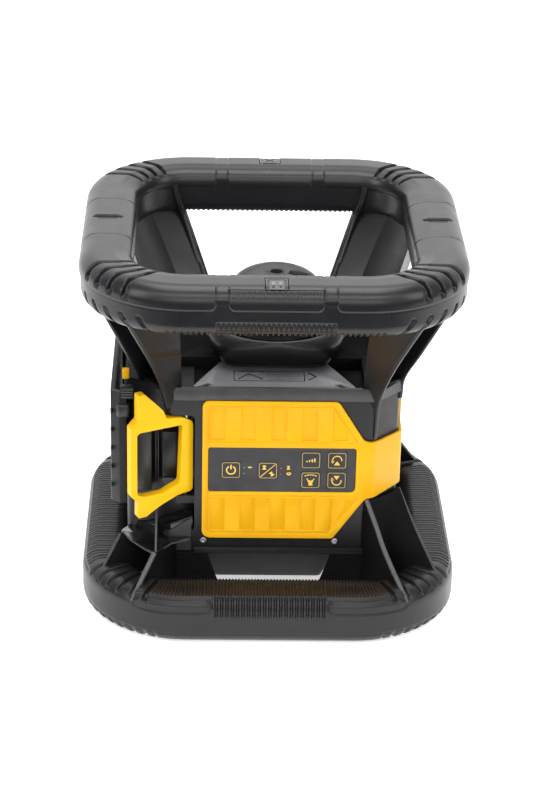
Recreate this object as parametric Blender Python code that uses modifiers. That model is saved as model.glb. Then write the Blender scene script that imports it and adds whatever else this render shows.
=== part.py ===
"""Rotating laser level: a self-levelling rotary head inside a roll cage.

Units are metres, +Z is up, the front (keypad) faces -Y and the battery door is on -X.
The origin is on the ground, under the rotor's axis.
"""
import math

import bmesh
import bpy
from mathutils import Matrix, Vector

# ---------------------------------------------------------------- driving dimensions
GAP = 0.0003                 # clearance between pieces that touch
CAGE_HALF = 0.125            # half width of the square cage
CAGE_CORNER = 0.070          # outer corner radius of the cage rings
TUBE_WIDTH = 0.032           # cage ring section
TUBE_HEIGHT = 0.0345
CAGE_TOP = 0.252             # overall height
PLATE = 0.0032               # pillar plate thickness

WALL = 0.0026                # housing wall thickness
BODY_RIGHT = 0.0845          # housing outline
BODY_LEFT = -0.095
BODY_FRONT = -0.068
BODY_BOTTOM = 0.0395
DECK_BOTTOM = 0.1572
DECK_TOP = 0.1602
COVER = 0.0022               # thickness of the coloured covers

NOTCH_RIGHT = -0.050         # recess at the front left corner, for the latch
NOTCH_BACK = -0.052
NOTCH_TOP = 0.1395

KEY_WIDTH = 0.0130
KEY_HEIGHT = 0.0124
KEYPAD_FACE = BODY_FRONT - GAP - COVER

PIN_RADIUS = 0.0015          # steel pins of the latch, the door and the gimbal
PIN_BORE = 0.0018
THREAD_RADIUS = 0.0079       # 5/8 inch tripod thread
INSERT_RADIUS = 0.0120       # brass insert that carries the thread
SIDE_THREAD_Z = 0.090

HEAD_X = 0.003               # the head stands a little to the right of the cage's middle
PIVOT_Z = 0.120              # height of the levelling axes
SLEEVE_RADIUS = 0.021
SLEEVE_BOTTOM = 0.062
SLEEVE_TOP = 0.141
HUB_RADIUS = 0.011
MOTOR_X = 0.050              # spindle motor, beside the sleeve
BIG_PULLEY = 0.0220          # on the rotor's hub
SMALL_PULLEY = 0.0070        # on the motor's shaft
BELT = 0.0012                # belt thickness
TURRET_RADIUS = 0.027
CAP_TOP = 0.215

LATCH_PIN = Vector((-0.056, -0.063, 0.0))
LATCH_END = Vector((-0.090, -0.079, 0.0))
LATCH_PIN_LOW = 0.0763
LATCH_PIN_HIGH = 0.1409
DOOR_PIN = Vector((-0.1015, 0.0665, 0.0))
DOOR_BOTTOM = 0.077
DOOR_TOP = 0.157
BAY = ((-0.0918, -0.0491, 0.0720), (-0.0510, 0.0640, 0.1520))
PACK = ((-0.0970, -0.0470, 0.0745), (-0.0555, 0.0605, 0.1490))

# ---------------------------------------------------------------- finishes (colour, roughness, metallic)
FINISHES = {
    "black_plastic": ((0.022, 0.023, 0.025), 0.42, 0.0),
    "grip_rubber": ((0.035, 0.036, 0.040), 0.55, 0.0),
    "yellow_plastic": ((0.87, 0.50, 0.02), 0.38, 0.0),
    "keypad_film": ((0.05, 0.05, 0.055), 0.50, 0.0),
    "glass": ((0.75, 0.85, 0.88), 0.05, 0.0),
    "steel": ((0.60, 0.60, 0.62), 0.30, 1.0),
    "aluminium": ((0.72, 0.73, 0.75), 0.35, 1.0),
    "brass": ((0.75, 0.58, 0.25), 0.30, 1.0),
    "board_green": ((0.02, 0.16, 0.06), 0.50, 0.0),
    "red_lens": ((0.60, 0.03, 0.03), 0.20, 0.0),
    "seal_rubber": ((0.015, 0.015, 0.015), 0.80, 0.0),
}


# ---------------------------------------------------------------- scene and helpers
def clear_scene():
    for obj in list(bpy.data.objects):
        bpy.data.objects.remove(obj, do_unlink=True)


def new_collection(name):
    collection = bpy.data.collections.new(name)
    bpy.context.scene.collection.children.link(collection)
    return collection


clear_scene()
PARTS = new_collection("rotating_laser_level")
CUTTERS = new_collection("cutters")


def add_material(obj, finish):
    colour, roughness, metallic = FINISHES[finish]
    material = bpy.data.materials.new(f"{obj.name}_{finish}")
    material.use_nodes = True
    shader = material.node_tree.nodes["Principled BSDF"]
    shader.inputs["Base Color"].default_value = (*colour, 1.0)
    shader.inputs["Roughness"].default_value = roughness
    shader.inputs["Metallic"].default_value = metallic
    obj.data.materials.append(material)


def object_from(bm, name, finish):
    """Turns a bmesh into an object: a part with a finish, or a cutter when finish is None."""
    mesh = bpy.data.meshes.new(name)
    bmesh.ops.recalc_face_normals(bm, faces=bm.faces)
    bm.to_mesh(mesh)
    bm.free()
    return object_with(mesh, name, finish)


def object_with(mesh, name, finish):
    obj = bpy.data.objects.new(name, mesh)
    if finish is None:
        CUTTERS.objects.link(obj)
        obj.display_type = "WIRE"
        obj.hide_render = True
        return obj
    PARTS.objects.link(obj)
    mesh.shade_smooth()
    mesh.set_sharp_from_angle(angle=math.radians(35))
    add_material(obj, finish)
    return obj


def evaluated_mesh(obj):
    """Bakes a curve or an object's modifiers into a mesh in world space, with its seams welded."""
    bpy.context.view_layer.update()
    graph = bpy.context.evaluated_depsgraph_get()
    mesh = bpy.data.meshes.new_from_object(obj.evaluated_get(graph))
    mesh.transform(obj.matrix_world)
    bm = bmesh.new()
    bm.from_mesh(mesh)
    bmesh.ops.remove_doubles(bm, verts=bm.verts, dist=1e-6)
    bmesh.ops.recalc_face_normals(bm, faces=bm.faces)
    bm.to_mesh(mesh)
    bm.free()
    mesh.materials.clear()
    return mesh


def block(name, low, high, finish=None, bevel=0.0):
    """A box between two corners, with its edges rounded."""
    low, high = Vector(low), Vector(high)
    bm = bmesh.new()
    bmesh.ops.create_cube(bm, size=1.0)
    bmesh.ops.scale(bm, vec=high - low, verts=bm.verts)
    bmesh.ops.translate(bm, vec=(low + high) / 2, verts=bm.verts)
    obj = object_from(bm, name, finish)
    if bevel:
        round_edges(obj, bevel)
    return obj


def round_edges(obj, width, segments=2):
    bevel = obj.modifiers.new("round_edges", "BEVEL")
    bevel.width = width
    bevel.segments = segments
    bevel.limit_method = "ANGLE"
    bevel.angle_limit = math.radians(40)


def rod(name, start, end, radius, finish=None, segments=24):
    """A cylinder from one point to another."""
    start, end = Vector(start), Vector(end)
    axis = end - start
    bm = bmesh.new()
    bmesh.ops.create_cone(bm, cap_ends=True, segments=segments, radius1=radius, radius2=radius,
                          depth=axis.length)
    turn = axis.to_track_quat("Z", "Y").to_matrix().to_4x4()
    bmesh.ops.transform(bm, matrix=Matrix.Translation((start + end) / 2) @ turn, verts=bm.verts)
    return object_from(bm, name, finish)


def turned(name, profile, finish=None, closed=False, centre=(0.0, 0.0), steps=32):
    """A turned piece. The profile (radius, height) runs down its outer side, from the top."""
    bm = bmesh.new()
    verts = [bm.verts.new((radius, 0.0, height)) for radius, height in profile]
    for first, second in zip(verts, verts[1:]):
        bm.edges.new((first, second))
    if closed:
        bm.edges.new((verts[-1], verts[0]))
    mesh = bpy.data.meshes.new(name)
    bm.to_mesh(mesh)
    bm.free()
    source = object_with(mesh, name + "_profile", None)
    screw = source.modifiers.new("turn", "SCREW")
    screw.axis = "Z"
    screw.steps = steps
    screw.render_steps = steps
    screw.use_merge_vertices = True
    screw.merge_threshold = 0.00001
    baked = evaluated_mesh(source)
    bpy.data.objects.remove(source)
    baked.transform(Matrix.Translation((centre[0], centre[1], 0.0)))
    return object_with(baked, name, finish)


def ring(name, outer, inner, bottom, top, finish, centre=(0.0, 0.0), steps=32):
    """A plain turned ring or sleeve."""
    profile = ((outer, top), (outer, bottom), (inner, bottom), (inner, top))
    return turned(name, profile, finish, closed=True, centre=centre, steps=steps)


def poly_curve(name, loops, depth=0.0):
    """A flat filled outline (with holes when there is more than one loop), in its own XY plane."""
    curve = bpy.data.curves.new(name, "CURVE")
    curve.dimensions = "2D"
    curve.fill_mode = "BOTH"
    curve.extrude = depth / 2
    for loop in loops:
        spline = curve.splines.new("POLY")
        spline.points.add(len(loop) - 1)
        for point, (x, y) in zip(spline.points, loop):
            point.co = (x, y, 0.0, 1.0)
        spline.use_cyclic_u = True
    obj = bpy.data.objects.new(name, curve)
    CUTTERS.objects.link(obj)
    return obj


def plate(name, loops, low, high, finish=None, matrix=None):
    """A flat outline given a thickness, from height low to height high of its own plane."""
    source = poly_curve(name + "_outline", loops, high - low)
    source.location.z = (low + high) / 2
    baked = evaluated_mesh(source)
    bpy.data.objects.remove(source)
    if matrix is not None:
        baked.transform(matrix)
    return object_with(baked, name, finish)


def boolean(obj, tool, operation):
    modifier = obj.modifiers.new(operation.lower(), "BOOLEAN")
    modifier.operation = operation
    modifier.object = tool
    modifier.solver = "EXACT"


def cut(obj, *cutters):
    for cutter in cutters:
        boolean(obj, cutter, "DIFFERENCE")
    return obj


def fuse(obj, *pieces):
    for piece in pieces:
        boolean(obj, piece, "UNION")
    return obj


def keep_inside(obj, tool):
    boolean(obj, tool, "INTERSECT")
    return obj


def rounded(points, radius, steps=4):
    """Rounds the corners of a closed outline with arcs of the given radius."""
    outline = []
    count = len(points)
    for index, corner in enumerate(points):
        corner = Vector(corner)
        before = (Vector(points[index - 1]) - corner).normalized()
        after = (Vector(points[(index + 1) % count]) - corner).normalized()
        half = before.angle(after) / 2
        reach = radius / math.tan(half)
        centre = corner + (before + after).normalized() * radius / math.sin(half)
        start = corner + before * reach - centre
        end = corner + after * reach - centre
        sweep = start.angle_signed(end)
        for step in range(steps + 1):
            turn = Matrix.Rotation(-sweep * step / steps, 2)
            outline.append(tuple(centre + turn @ start))
    return outline


def circle(radius, centre=(0.0, 0.0), steps=32):
    return [(centre[0] + radius * math.cos(math.tau * step / steps),
             centre[1] + radius * math.sin(math.tau * step / steps)) for step in range(steps)]


def standing(y=0.0):
    """Stands a flat outline up, so that its X, Y become X, Z and its thickness runs along -Y."""
    return Matrix.Translation((0.0, y, 0.0)) @ Matrix.Rotation(math.radians(90), 4, "X")


def facing_right():
    """Turns a flat outline so that its X, Y become Y, Z and its thickness runs along X."""
    return Matrix.Rotation(math.radians(90), 4, "Z") @ Matrix.Rotation(math.radians(90), 4, "X")


def set_origin(obj, origin):
    """Moves an object's origin to a point, leaving its shape where it is."""
    obj.data.transform(Matrix.Translation(-Vector(origin)))
    obj.location = origin


# ---------------------------------------------------------------- cage
def rounded_square(half, radius, steps=8):
    square = ((-half, -half), (half, -half), (half, half), (-half, half))
    return rounded(square, radius, steps)


def tube_section(grow):
    """The cage tube's section: soft shoulders on top, a flat foot below."""
    half = TUBE_WIDTH / 2 + grow
    rise = TUBE_HEIGHT / 2 + grow
    shoulder = 0.0110
    box = ((-half, -rise), (half, -rise), (half, rise), (-half, rise))
    return rounded(box, shoulder, 3)


def cage_ring(name, middle, finish=None, grow=0.0):
    """Sweeps the tube section round the rounded square of the cage, at a height."""
    inset = TUBE_WIDTH / 2
    section = poly_curve(name + "_section", [tube_section(grow)])
    path = bpy.data.curves.new(name + "_path", "CURVE")
    path.dimensions = "3D"
    path.twist_mode = "Z_UP"
    points = rounded_square(CAGE_HALF - inset, CAGE_CORNER - inset)
    spline = path.splines.new("POLY")
    spline.points.add(len(points) - 1)
    for point, (x, y) in zip(spline.points, points):
        point.co = (x, y, 0.0, 1.0)
    spline.use_cyclic_u = True
    path.bevel_mode = "OBJECT"
    path.bevel_object = section
    source = bpy.data.objects.new(name + "_path", path)
    CUTTERS.objects.link(source)
    source.location.z = middle
    baked = evaluated_mesh(source)
    bpy.data.objects.remove(source)
    bpy.data.objects.remove(section)
    return object_with(baked, name, finish)


def sample(rail, amount):
    """A point part of the way along a rail of points."""
    place = amount * (len(rail) - 1)
    index = min(int(place), len(rail) - 2)
    return Vector(rail[index]).lerp(Vector(rail[index + 1]), place - index)


def folded_section(points):
    """The closed section of a folded plate, in plan, from its middle line."""
    flat = [Vector(point[:2]) for point in points]
    left, right = [], []
    for index, point in enumerate(flat):
        before = (point - flat[index - 1]).normalized() if index > 0 else None
        after = (flat[index + 1] - point).normalized() if index < len(flat) - 1 else None
        along = ((before or after) + (after or before)).normalized()
        normal = Vector((-along.y, along.x))
        square = abs(normal.dot(Vector((-(after or before).y, (after or before).x))))
        reach = PLATE / 2 / max(square, 0.6)
        left.append(Vector((*(point + normal * reach), points[index][2])))
        right.append(Vector((*(point - normal * reach), points[index][2])))
    return left + right[::-1]


def pillar(name, rails, side_x, side_y, finish, cutters, steps=5):
    """A folded plate that runs along its rails, mirrored to its corner of the cage."""
    bm = bmesh.new()
    rows = []
    for step in range(steps + 1):
        points = [sample(rail, step / steps) for rail in rails]
        section = folded_section(points)
        rows.append([bm.verts.new((point.x * side_x, point.y * side_y, point.z)) for point in section])
    for lower, upper in zip(rows, rows[1:]):
        for index in range(len(lower)):
            after = (index + 1) % len(lower)
            bm.faces.new((lower[index], lower[after], upper[after], upper[index]))
    for row in (rows[0], rows[-1]):
        for index in range(len(rails) - 1):
            other = len(row) - 1 - index
            bm.faces.new((row[index], row[index + 1], row[other - 1], row[other]))
    return cut(object_from(bm, name, finish), *cutters)


# Rails of the upper pillars, for the +X, +Y corner, from the deck up into the grip ring:
# the free edge beside the front or rear, its fold, the web's middle, the side fold and its free edge.
UPPER_FRONT = (
    ((0.0700, 0.0725, 0.1605), (0.0782, 0.0880, 0.1870), (0.0920, 0.1090, 0.2230)),
    ((0.0600, 0.0660, 0.1605), (0.0614, 0.0808, 0.1870), (0.0620, 0.0990, 0.2230)),
    ((0.0640, 0.0550, 0.1605), (0.0700, 0.0700, 0.1870), (0.0830, 0.0830, 0.2230)),
    ((0.0780, 0.0440, 0.1605), (0.0860, 0.0560, 0.1870), (0.1000, 0.0660, 0.2230)),
    ((0.0860, 0.0520, 0.1605), (0.0950, 0.0700, 0.1870), (0.1090, 0.0900, 0.2230)),
)
UPPER_REAR = (
    ((0.0620, 0.0700, 0.1605), (0.0760, 0.0880, 0.1870), (0.0920, 0.1090, 0.2230)),
    ((0.0370, 0.0520, 0.1605), (0.0472, 0.0700, 0.1870), (0.0635, 0.0980, 0.2230)),
    ((0.0560, 0.0530, 0.1605), (0.0660, 0.0660, 0.1870), (0.0830, 0.0830, 0.2230)),
    ((0.0780, 0.0340, 0.1605), (0.0860, 0.0480, 0.1870), (0.1000, 0.0660, 0.2230)),
    ((0.0860, 0.0520, 0.1605), (0.0950, 0.0700, 0.1870), (0.1090, 0.0900, 0.2230)),
)
# Rails of the lower pillars, from the housing's corner down into the base ring. The front ones are
# channels open towards the cage's corner, the rear ones fold outwards round the corner.
LOWER_FRONT = (
    ((0.0660, 0.0735, 0.0750), (0.0750, 0.0890, 0.0540), (0.0900, 0.1110, 0.0270)),
    ((0.0652, 0.0708, 0.0740), (0.0634, 0.0705, 0.0540), (0.0635, 0.0715, 0.0200)),
    ((0.0776, 0.0620, 0.0750), (0.0800, 0.0615, 0.0540), (0.0815, 0.0640, 0.0240)),
    ((0.0885, 0.0520, 0.0750), (0.0990, 0.0660, 0.0540), (0.1140, 0.0870, 0.0270)),
)
LOWER_REAR = (
    ((0.0652, 0.0708, 0.0740), (0.0634, 0.0705, 0.0540), (0.0635, 0.0715, 0.0200)),
    ((0.0660, 0.0735, 0.0750), (0.0750, 0.0890, 0.0540), (0.0900, 0.1110, 0.0270)),
    ((0.0776, 0.0620, 0.0750), (0.0795, 0.0670, 0.0540), (0.0820, 0.0820, 0.0270)),
    ((0.0885, 0.0520, 0.0750), (0.0980, 0.0670, 0.0540), (0.1110, 0.0890, 0.0270)),
)
# The web beside each lower pillar's foot, seen from the front. It closes the gap beside the tub.
FOOT_WEB = ((0.0365, 0.0195), (0.0650, 0.0110), (0.0650, 0.0385), (0.0440, 0.0385))


def build_cage():
    upper_middle = CAGE_TOP - TUBE_HEIGHT / 2
    lower_middle = TUBE_HEIGHT / 2
    cage_ring("upper_grip_ring", upper_middle, "grip_rubber")
    cage_ring("base_ring", lower_middle, "grip_rubber")
    upper_clear = cage_ring("upper_ring_clearance", upper_middle, grow=GAP)
    lower_clear = cage_ring("base_ring_clearance", lower_middle, grow=GAP)
    housing_clear = plate("housing_clearance", [body_outline(-GAP)], BODY_BOTTOM - 0.02, DECK_TOP + GAP)
    corners = (("front_left", -1, -1), ("front_right", 1, -1), ("rear_left", -1, 1), ("rear_right", 1, 1))
    for corner, side_x, side_y in corners:
        upper_rails = UPPER_FRONT if side_y < 0 else UPPER_REAR
        pillar(f"upper_pillar_{corner}", upper_rails, side_x, side_y, "black_plastic",
               (upper_clear, housing_clear))
        lower_rails = LOWER_FRONT if side_y < 0 else LOWER_REAR
        lower = pillar(f"lower_pillar_{corner}", lower_rails, side_x, side_y, "black_plastic",
                       (lower_clear, housing_clear))
        web = plate(f"foot_web_{corner}", [[(x * side_x, z) for x, z in FOOT_WEB]], 0.0686, 0.0708, None,
                    Matrix.Scale(-side_y, 4, (0.0, 1.0, 0.0)) @ standing())
        fuse(lower, web)


# ---------------------------------------------------------------- housing
def body_outline(inset):
    """The housing's plan, moved inwards by inset. Its corners are chamfered."""
    left, right = BODY_LEFT + inset, BODY_RIGHT - inset
    front, rear = BODY_FRONT + inset, -BODY_FRONT - inset
    chamfer = 0.0175 - inset * 0.6
    deep = 0.0290 - inset * 0.4
    small = 0.0030 - inset * 0.6
    return [(left + deep, front), (right - chamfer, front), (right, front + chamfer),
            (right, rear - chamfer), (right - chamfer, rear), (left + small, rear),
            (left, rear - small), (left, front + chamfer)]


def half_space(name, front_half):
    """A large box that covers the other half of the housing."""
    edge = GAP / 2
    if front_half:
        return block(name, (-0.2, -edge, -0.1), (0.2, 0.2, 0.3))
    return block(name, (-0.2, -0.2, -0.1), (0.2, edge, 0.3))


def door_opening():
    return block("door_opening", (BODY_LEFT - 0.01, -0.0480, 0.0735), (BODY_LEFT + 0.0035, 0.0620, 0.1500))


def housing_belt(name, finish):
    return plate(name, [body_outline(0.0), body_outline(WALL)], BODY_BOTTOM, DECK_BOTTOM - GAP, finish)


def build_housing():
    front = housing_belt("front_housing", "black_plastic")
    cut(front, half_space("rear_side", True))
    inner_right = NOTCH_RIGHT + WALL
    inner_back = NOTCH_BACK + WALL
    filled = block("notch_fill", (BODY_LEFT + 0.001, BODY_FRONT + 0.001, BODY_BOTTOM),
                   (inner_right, inner_back, NOTCH_TOP + WALL))
    keep_inside(filled, plate("notch_limit", [body_outline(0.0)], 0.0, 0.2))
    notch = block("notch", (-0.12, -0.09, 0.02), (NOTCH_RIGHT, NOTCH_BACK, NOTCH_TOP))
    lug = block("latch_lug", (-0.0620, -0.0678, 0.0750),
                (NOTCH_RIGHT + 0.001, NOTCH_BACK + 0.001, 0.0805))
    pin_hole = rod("latch_pin_hole", (*LATCH_PIN.xy, LATCH_PIN_LOW - GAP),
                   (*LATCH_PIN.xy, LATCH_PIN_HIGH + GAP), PIN_BORE)
    window = block("keypad_window", (-0.0380, -0.0750, 0.0866), (0.0530, -0.0600, 0.1164))
    fuse(front, filled)
    cut(front, notch)
    fuse(front, lug)
    cut(front, pin_hole, window, door_opening())

    rear = housing_belt("rear_housing", "black_plastic")
    cut(rear, half_space("front_side", False), door_opening())
    cut(rear, rod("side_thread_hole", (0.0, 0.05, SIDE_THREAD_Z), (0.0, 0.09, SIDE_THREAD_Z),
                  INSERT_RADIUS + GAP))

    deck_hole = circle(0.032, (HEAD_X, 0.0))
    plate("top_deck", [body_outline(0.0), deck_hole], DECK_BOTTOM, DECK_TOP, "black_plastic")
    build_bottom()


def build_bottom():
    """The tub under the housing, with the boss that holds the tripod thread."""
    floor_top = BODY_BOTTOM - GAP
    tub = plate("bottom_housing", [body_outline(0.004)], floor_top - 0.004, floor_top, "black_plastic")
    bm = bmesh.new()
    bmesh.ops.create_cone(bm, cap_ends=True, segments=4, radius1=1.0, radius2=1.0, depth=1.0,
                          matrix=Matrix.Rotation(math.radians(45), 4, "Z"))
    boss_bottom, boss_top = 0.0060, floor_top - 0.002
    for vert in bm.verts:
        is_top = vert.co.z > 0
        half_x = 0.0475 if is_top else 0.0365
        half_y = 0.060 if is_top else 0.042
        vert.co = (math.copysign(half_x, vert.co.x), math.copysign(half_y, vert.co.y),
                   boss_top if is_top else boss_bottom)
    boss = object_from(bm, "bottom_boss", None)
    fuse(tub, boss)
    cut(tub, rod("tripod_bore", (0.0, 0.0, 0.0), (0.0, 0.0, 0.024), INSERT_RADIUS + GAP))


# ---------------------------------------------------------------- covers
def cover_belt(name, finish, mirror):
    """A band that follows the housing's front and right side, or its rear when mirrored."""
    outer = body_outline(-GAP - COVER)
    inner = body_outline(-GAP)
    loop = [outer[0], outer[1], outer[2], (outer[2][0], -0.0180)]
    loop += [(inner[2][0], -0.0180), inner[2], inner[1], inner[0]]
    if mirror:
        loop = [(x, -y) for x, y in loop]
    return plate(name, [loop], 0.040, 0.156, finish)


def cover_outline():
    """The covers' outline seen from the front: the sides step in to a band round the corner."""
    left, bottom, top = -0.0450, 0.0508, 0.1510
    band_bottom, band_top, beyond = 0.0860, 0.1220, 0.1000
    corners = ((left, bottom), (0.0420, bottom), (0.0630, 0.0810), (beyond, band_bottom),
               (beyond, band_top), (0.0615, band_top), (0.0435, top), (left, top))
    return rounded(corners, 0.0050, 3)


def build_covers():
    silhouette = plate("cover_silhouette", [cover_outline()], -0.15, 0.15, matrix=standing())
    front = cover_belt("front_cover", "yellow_plastic", False)
    keep_inside(front, silhouette)
    cut(front, block("keypad_recess", (-0.0412, -0.0800, 0.0852), (0.0562, -0.0600, 0.1178)))
    rear = cover_belt("rear_cover", "yellow_plastic", True)
    keep_inside(rear, silhouette)
    cut(rear, rod("rear_thread_clearance", (0.0, 0.06, SIDE_THREAD_Z), (0.0, 0.09, SIDE_THREAD_Z),
                  INSERT_RADIUS + 0.0015))
    side = BODY_RIGHT + GAP
    panel = rounded(((-0.0150, 0.0900), (0.0150, 0.0900), (0.0150, 0.1310), (-0.0150, 0.1310)), 0.003, 3)
    plate("right_side_panel", [panel], side, side + 0.0040, "yellow_plastic", facing_right())
    head_back = BODY_FRONT - GAP
    head_front = head_back - 0.0014
    screw_z = 0.0480
    for label, x in (("left", -0.0440), ("right", 0.0436)):
        rod(f"front_screw_{label}", (x, head_back, screw_z), (x, head_front, screw_z), 0.0022, "steel", 16)


# ---------------------------------------------------------------- keypad
KEYS = {
    "power_button": (-0.0261, 0.1012),
    "slope_button": (-0.0018, 0.1010),
    "speed_button": (0.0264, 0.1088),
    "turn_right_button": (0.0436, 0.1088),
    "scan_button": (0.0264, 0.0942),
    "turn_left_button": (0.0436, 0.0942),
}
INDICATORS = {
    "power_indicator": (-0.0165, 0.1012, "board_green"),
    "slope_indicator": (0.0076, 0.1010, "red_lens"),
}


def rectangle(x, z, half_x, half_z):
    left, right = x - half_x, x + half_x
    low, high = z - half_z, z + half_z
    return [(left, low), (right, low), (right, high), (left, high)]


def key_outline(x, z, grow=0.0):
    return rounded(rectangle(x, z, KEY_WIDTH / 2 + grow, KEY_HEIGHT / 2 + grow), 0.0015, 2)


def lens_outline(x, z, grow=0.0):
    return rectangle(x, z, 0.0012 + grow, 0.0040 + grow)


def build_keypad():
    back = -BODY_FRONT + GAP
    face = -KEYPAD_FACE - 0.0004
    film = rounded(((-0.0409, 0.0855), (0.0559, 0.0855), (0.0559, 0.1175), (-0.0409, 0.1175)), 0.002, 3)
    holes = [key_outline(x, z, GAP) for x, z in KEYS.values()]
    holes += [lens_outline(x, z, GAP) for x, z, _ in INDICATORS.values()]
    plate("keypad_panel", [film, *holes], back, face, "keypad_film", standing())
    for name, (x, z) in KEYS.items():
        key = plate(name, [key_outline(x, z)], back + 0.0002, face + 0.0006, "keypad_film", standing())
        set_origin(key, (x, -face, z))
    for name, (x, z, finish) in INDICATORS.items():
        plate(name, [lens_outline(x, z)], back, face + 0.0002, finish, standing())
    block("control_board", (-0.0370, -0.0625, 0.0600), (0.0520, -0.0609, 0.1300), "board_green")


# ---------------------------------------------------------------- battery side
def build_battery_bay():
    low, high = Vector(BAY[0]), Vector(BAY[1])
    thickness = 0.0018
    bay = block("battery_bay", low, high, "black_plastic")
    inside = Vector((thickness, thickness, thickness))
    cut(bay, block("bay_inside", low + inside - Vector((0.02, 0.0, 0.0)), high - inside))
    pack = block("battery_pack", PACK[0], PACK[1], "black_plastic", 0.003)
    cut(pack, block("terminal_slot", (-0.0700, 0.0300, 0.1050), (-0.0500, 0.0500, 0.1190)))
    block("battery_terminals", (-0.0690, 0.0320, 0.1080), (-0.0531, 0.0480, 0.1160), "brass", 0.0005)
    seal_outer = ((-0.0500, 0.0710), (0.0645, 0.0710), (0.0645, 0.1525), (-0.0500, 0.1525))
    seal_inner = ((-0.0480, 0.0735), (0.0620, 0.0735), (0.0620, 0.1500), (-0.0480, 0.1500))
    plate("door_seal", [rounded(seal_outer, 0.003, 3), rounded(seal_inner, 0.002, 3)],
          BODY_LEFT - 0.0017, BODY_LEFT - GAP, "seal_rubber", facing_right())


def build_door():
    """The battery door: a shallow panel that hooks round the front corner, on a hinge at the rear."""
    outside = -0.1040
    inside = outside + 0.0032
    barrel_low, barrel_high = 0.0850, 0.1490
    barrel_radius = 0.0036
    outline = [(outside, 0.0600), (outside, -0.0670), (-0.0990, -0.0720), (-0.0945, -0.0720),
               (-0.0945, -0.0688), (-0.0970, -0.0688), (inside, -0.0650), (inside, 0.0600)]
    door = plate("battery_door", [outline], DOOR_BOTTOM, DOOR_TOP, "black_plastic")
    barrel = rod("door_barrel", (*DOOR_PIN.xy, barrel_low), (*DOOR_PIN.xy, barrel_high), barrel_radius)
    web = block("door_web", (outside, 0.0560, barrel_low), (inside, 0.0660, barrel_high))
    fuse(door, web, barrel)
    cut(door, rod("door_bore", (*DOOR_PIN.xy, 0.06), (*DOOR_PIN.xy, 0.17), PIN_BORE))
    set_origin(door, DOOR_PIN)
    pin_low, pin_high = 0.0790, 0.1550
    rod("door_hinge_pin", (*DOOR_PIN.xy, pin_low), (*DOOR_PIN.xy, pin_high), PIN_RADIUS, "steel")
    rear = bpy.data.objects["rear_housing"]
    closed_end = 0.0008
    spans = (("lower", pin_low - closed_end, barrel_low - 0.0004),
             ("upper", barrel_high + 0.0004, pin_high + closed_end))
    for label, low, high in spans:
        lug = rod(f"{label}_hinge_lug", (*DOOR_PIN.xy, low), (*DOOR_PIN.xy, high), barrel_radius)
        arm = block(f"{label}_hinge_arm", (DOOR_PIN.x, 0.0650, low), (-0.0880, 0.0675, high))
        fuse(rear, lug, arm)
    cut(rear, rod("hinge_lug_bore", (*DOOR_PIN.xy, pin_low - GAP), (*DOOR_PIN.xy, pin_high + GAP),
                  PIN_BORE))


def build_latch():
    """The latch: a finger loop on an upright pin, whose free side laps over the door's edge."""
    along = LATCH_END - LATCH_PIN
    length = along.length
    bar = 0.0039
    far, edge = length - 0.0022, length + 0.0030
    top, bottom = 0.1590, 0.0700
    outer = ((-bar, 0.0830), (-bar, 0.1355), (0.0020, 0.1380), (0.0150, 0.1390), (far - 0.0055, top),
             (far, top), (far, 0.1415), (edge, 0.1365), (edge, 0.0870), (far, 0.0820),
             (far, bottom), (far - 0.0055, bottom), (0.0220, 0.0740), (0.0070, 0.0812))
    inner = ((bar, 0.0920), (bar, 0.1320), (length - 0.0016, 0.1315), (length - 0.0016, 0.0860),
             (0.0280, 0.0860))
    upright = Matrix.Rotation(math.atan2(along.y, along.x), 4, "Z") @ standing()
    place = Matrix.Translation(LATCH_PIN) @ upright
    latch = plate("door_latch", [rounded(outer, 0.0012, 2), rounded(inner, 0.0020, 3)], -0.0030, 0.0030,
                  "yellow_plastic", place)
    cut(latch, rod("latch_bore", (*LATCH_PIN.xy, 0.05), (*LATCH_PIN.xy, 0.17), PIN_BORE))
    set_origin(latch, LATCH_PIN)
    rod("latch_pin", (*LATCH_PIN.xy, LATCH_PIN_LOW), (*LATCH_PIN.xy, LATCH_PIN_HIGH), PIN_RADIUS, "steel")


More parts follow.
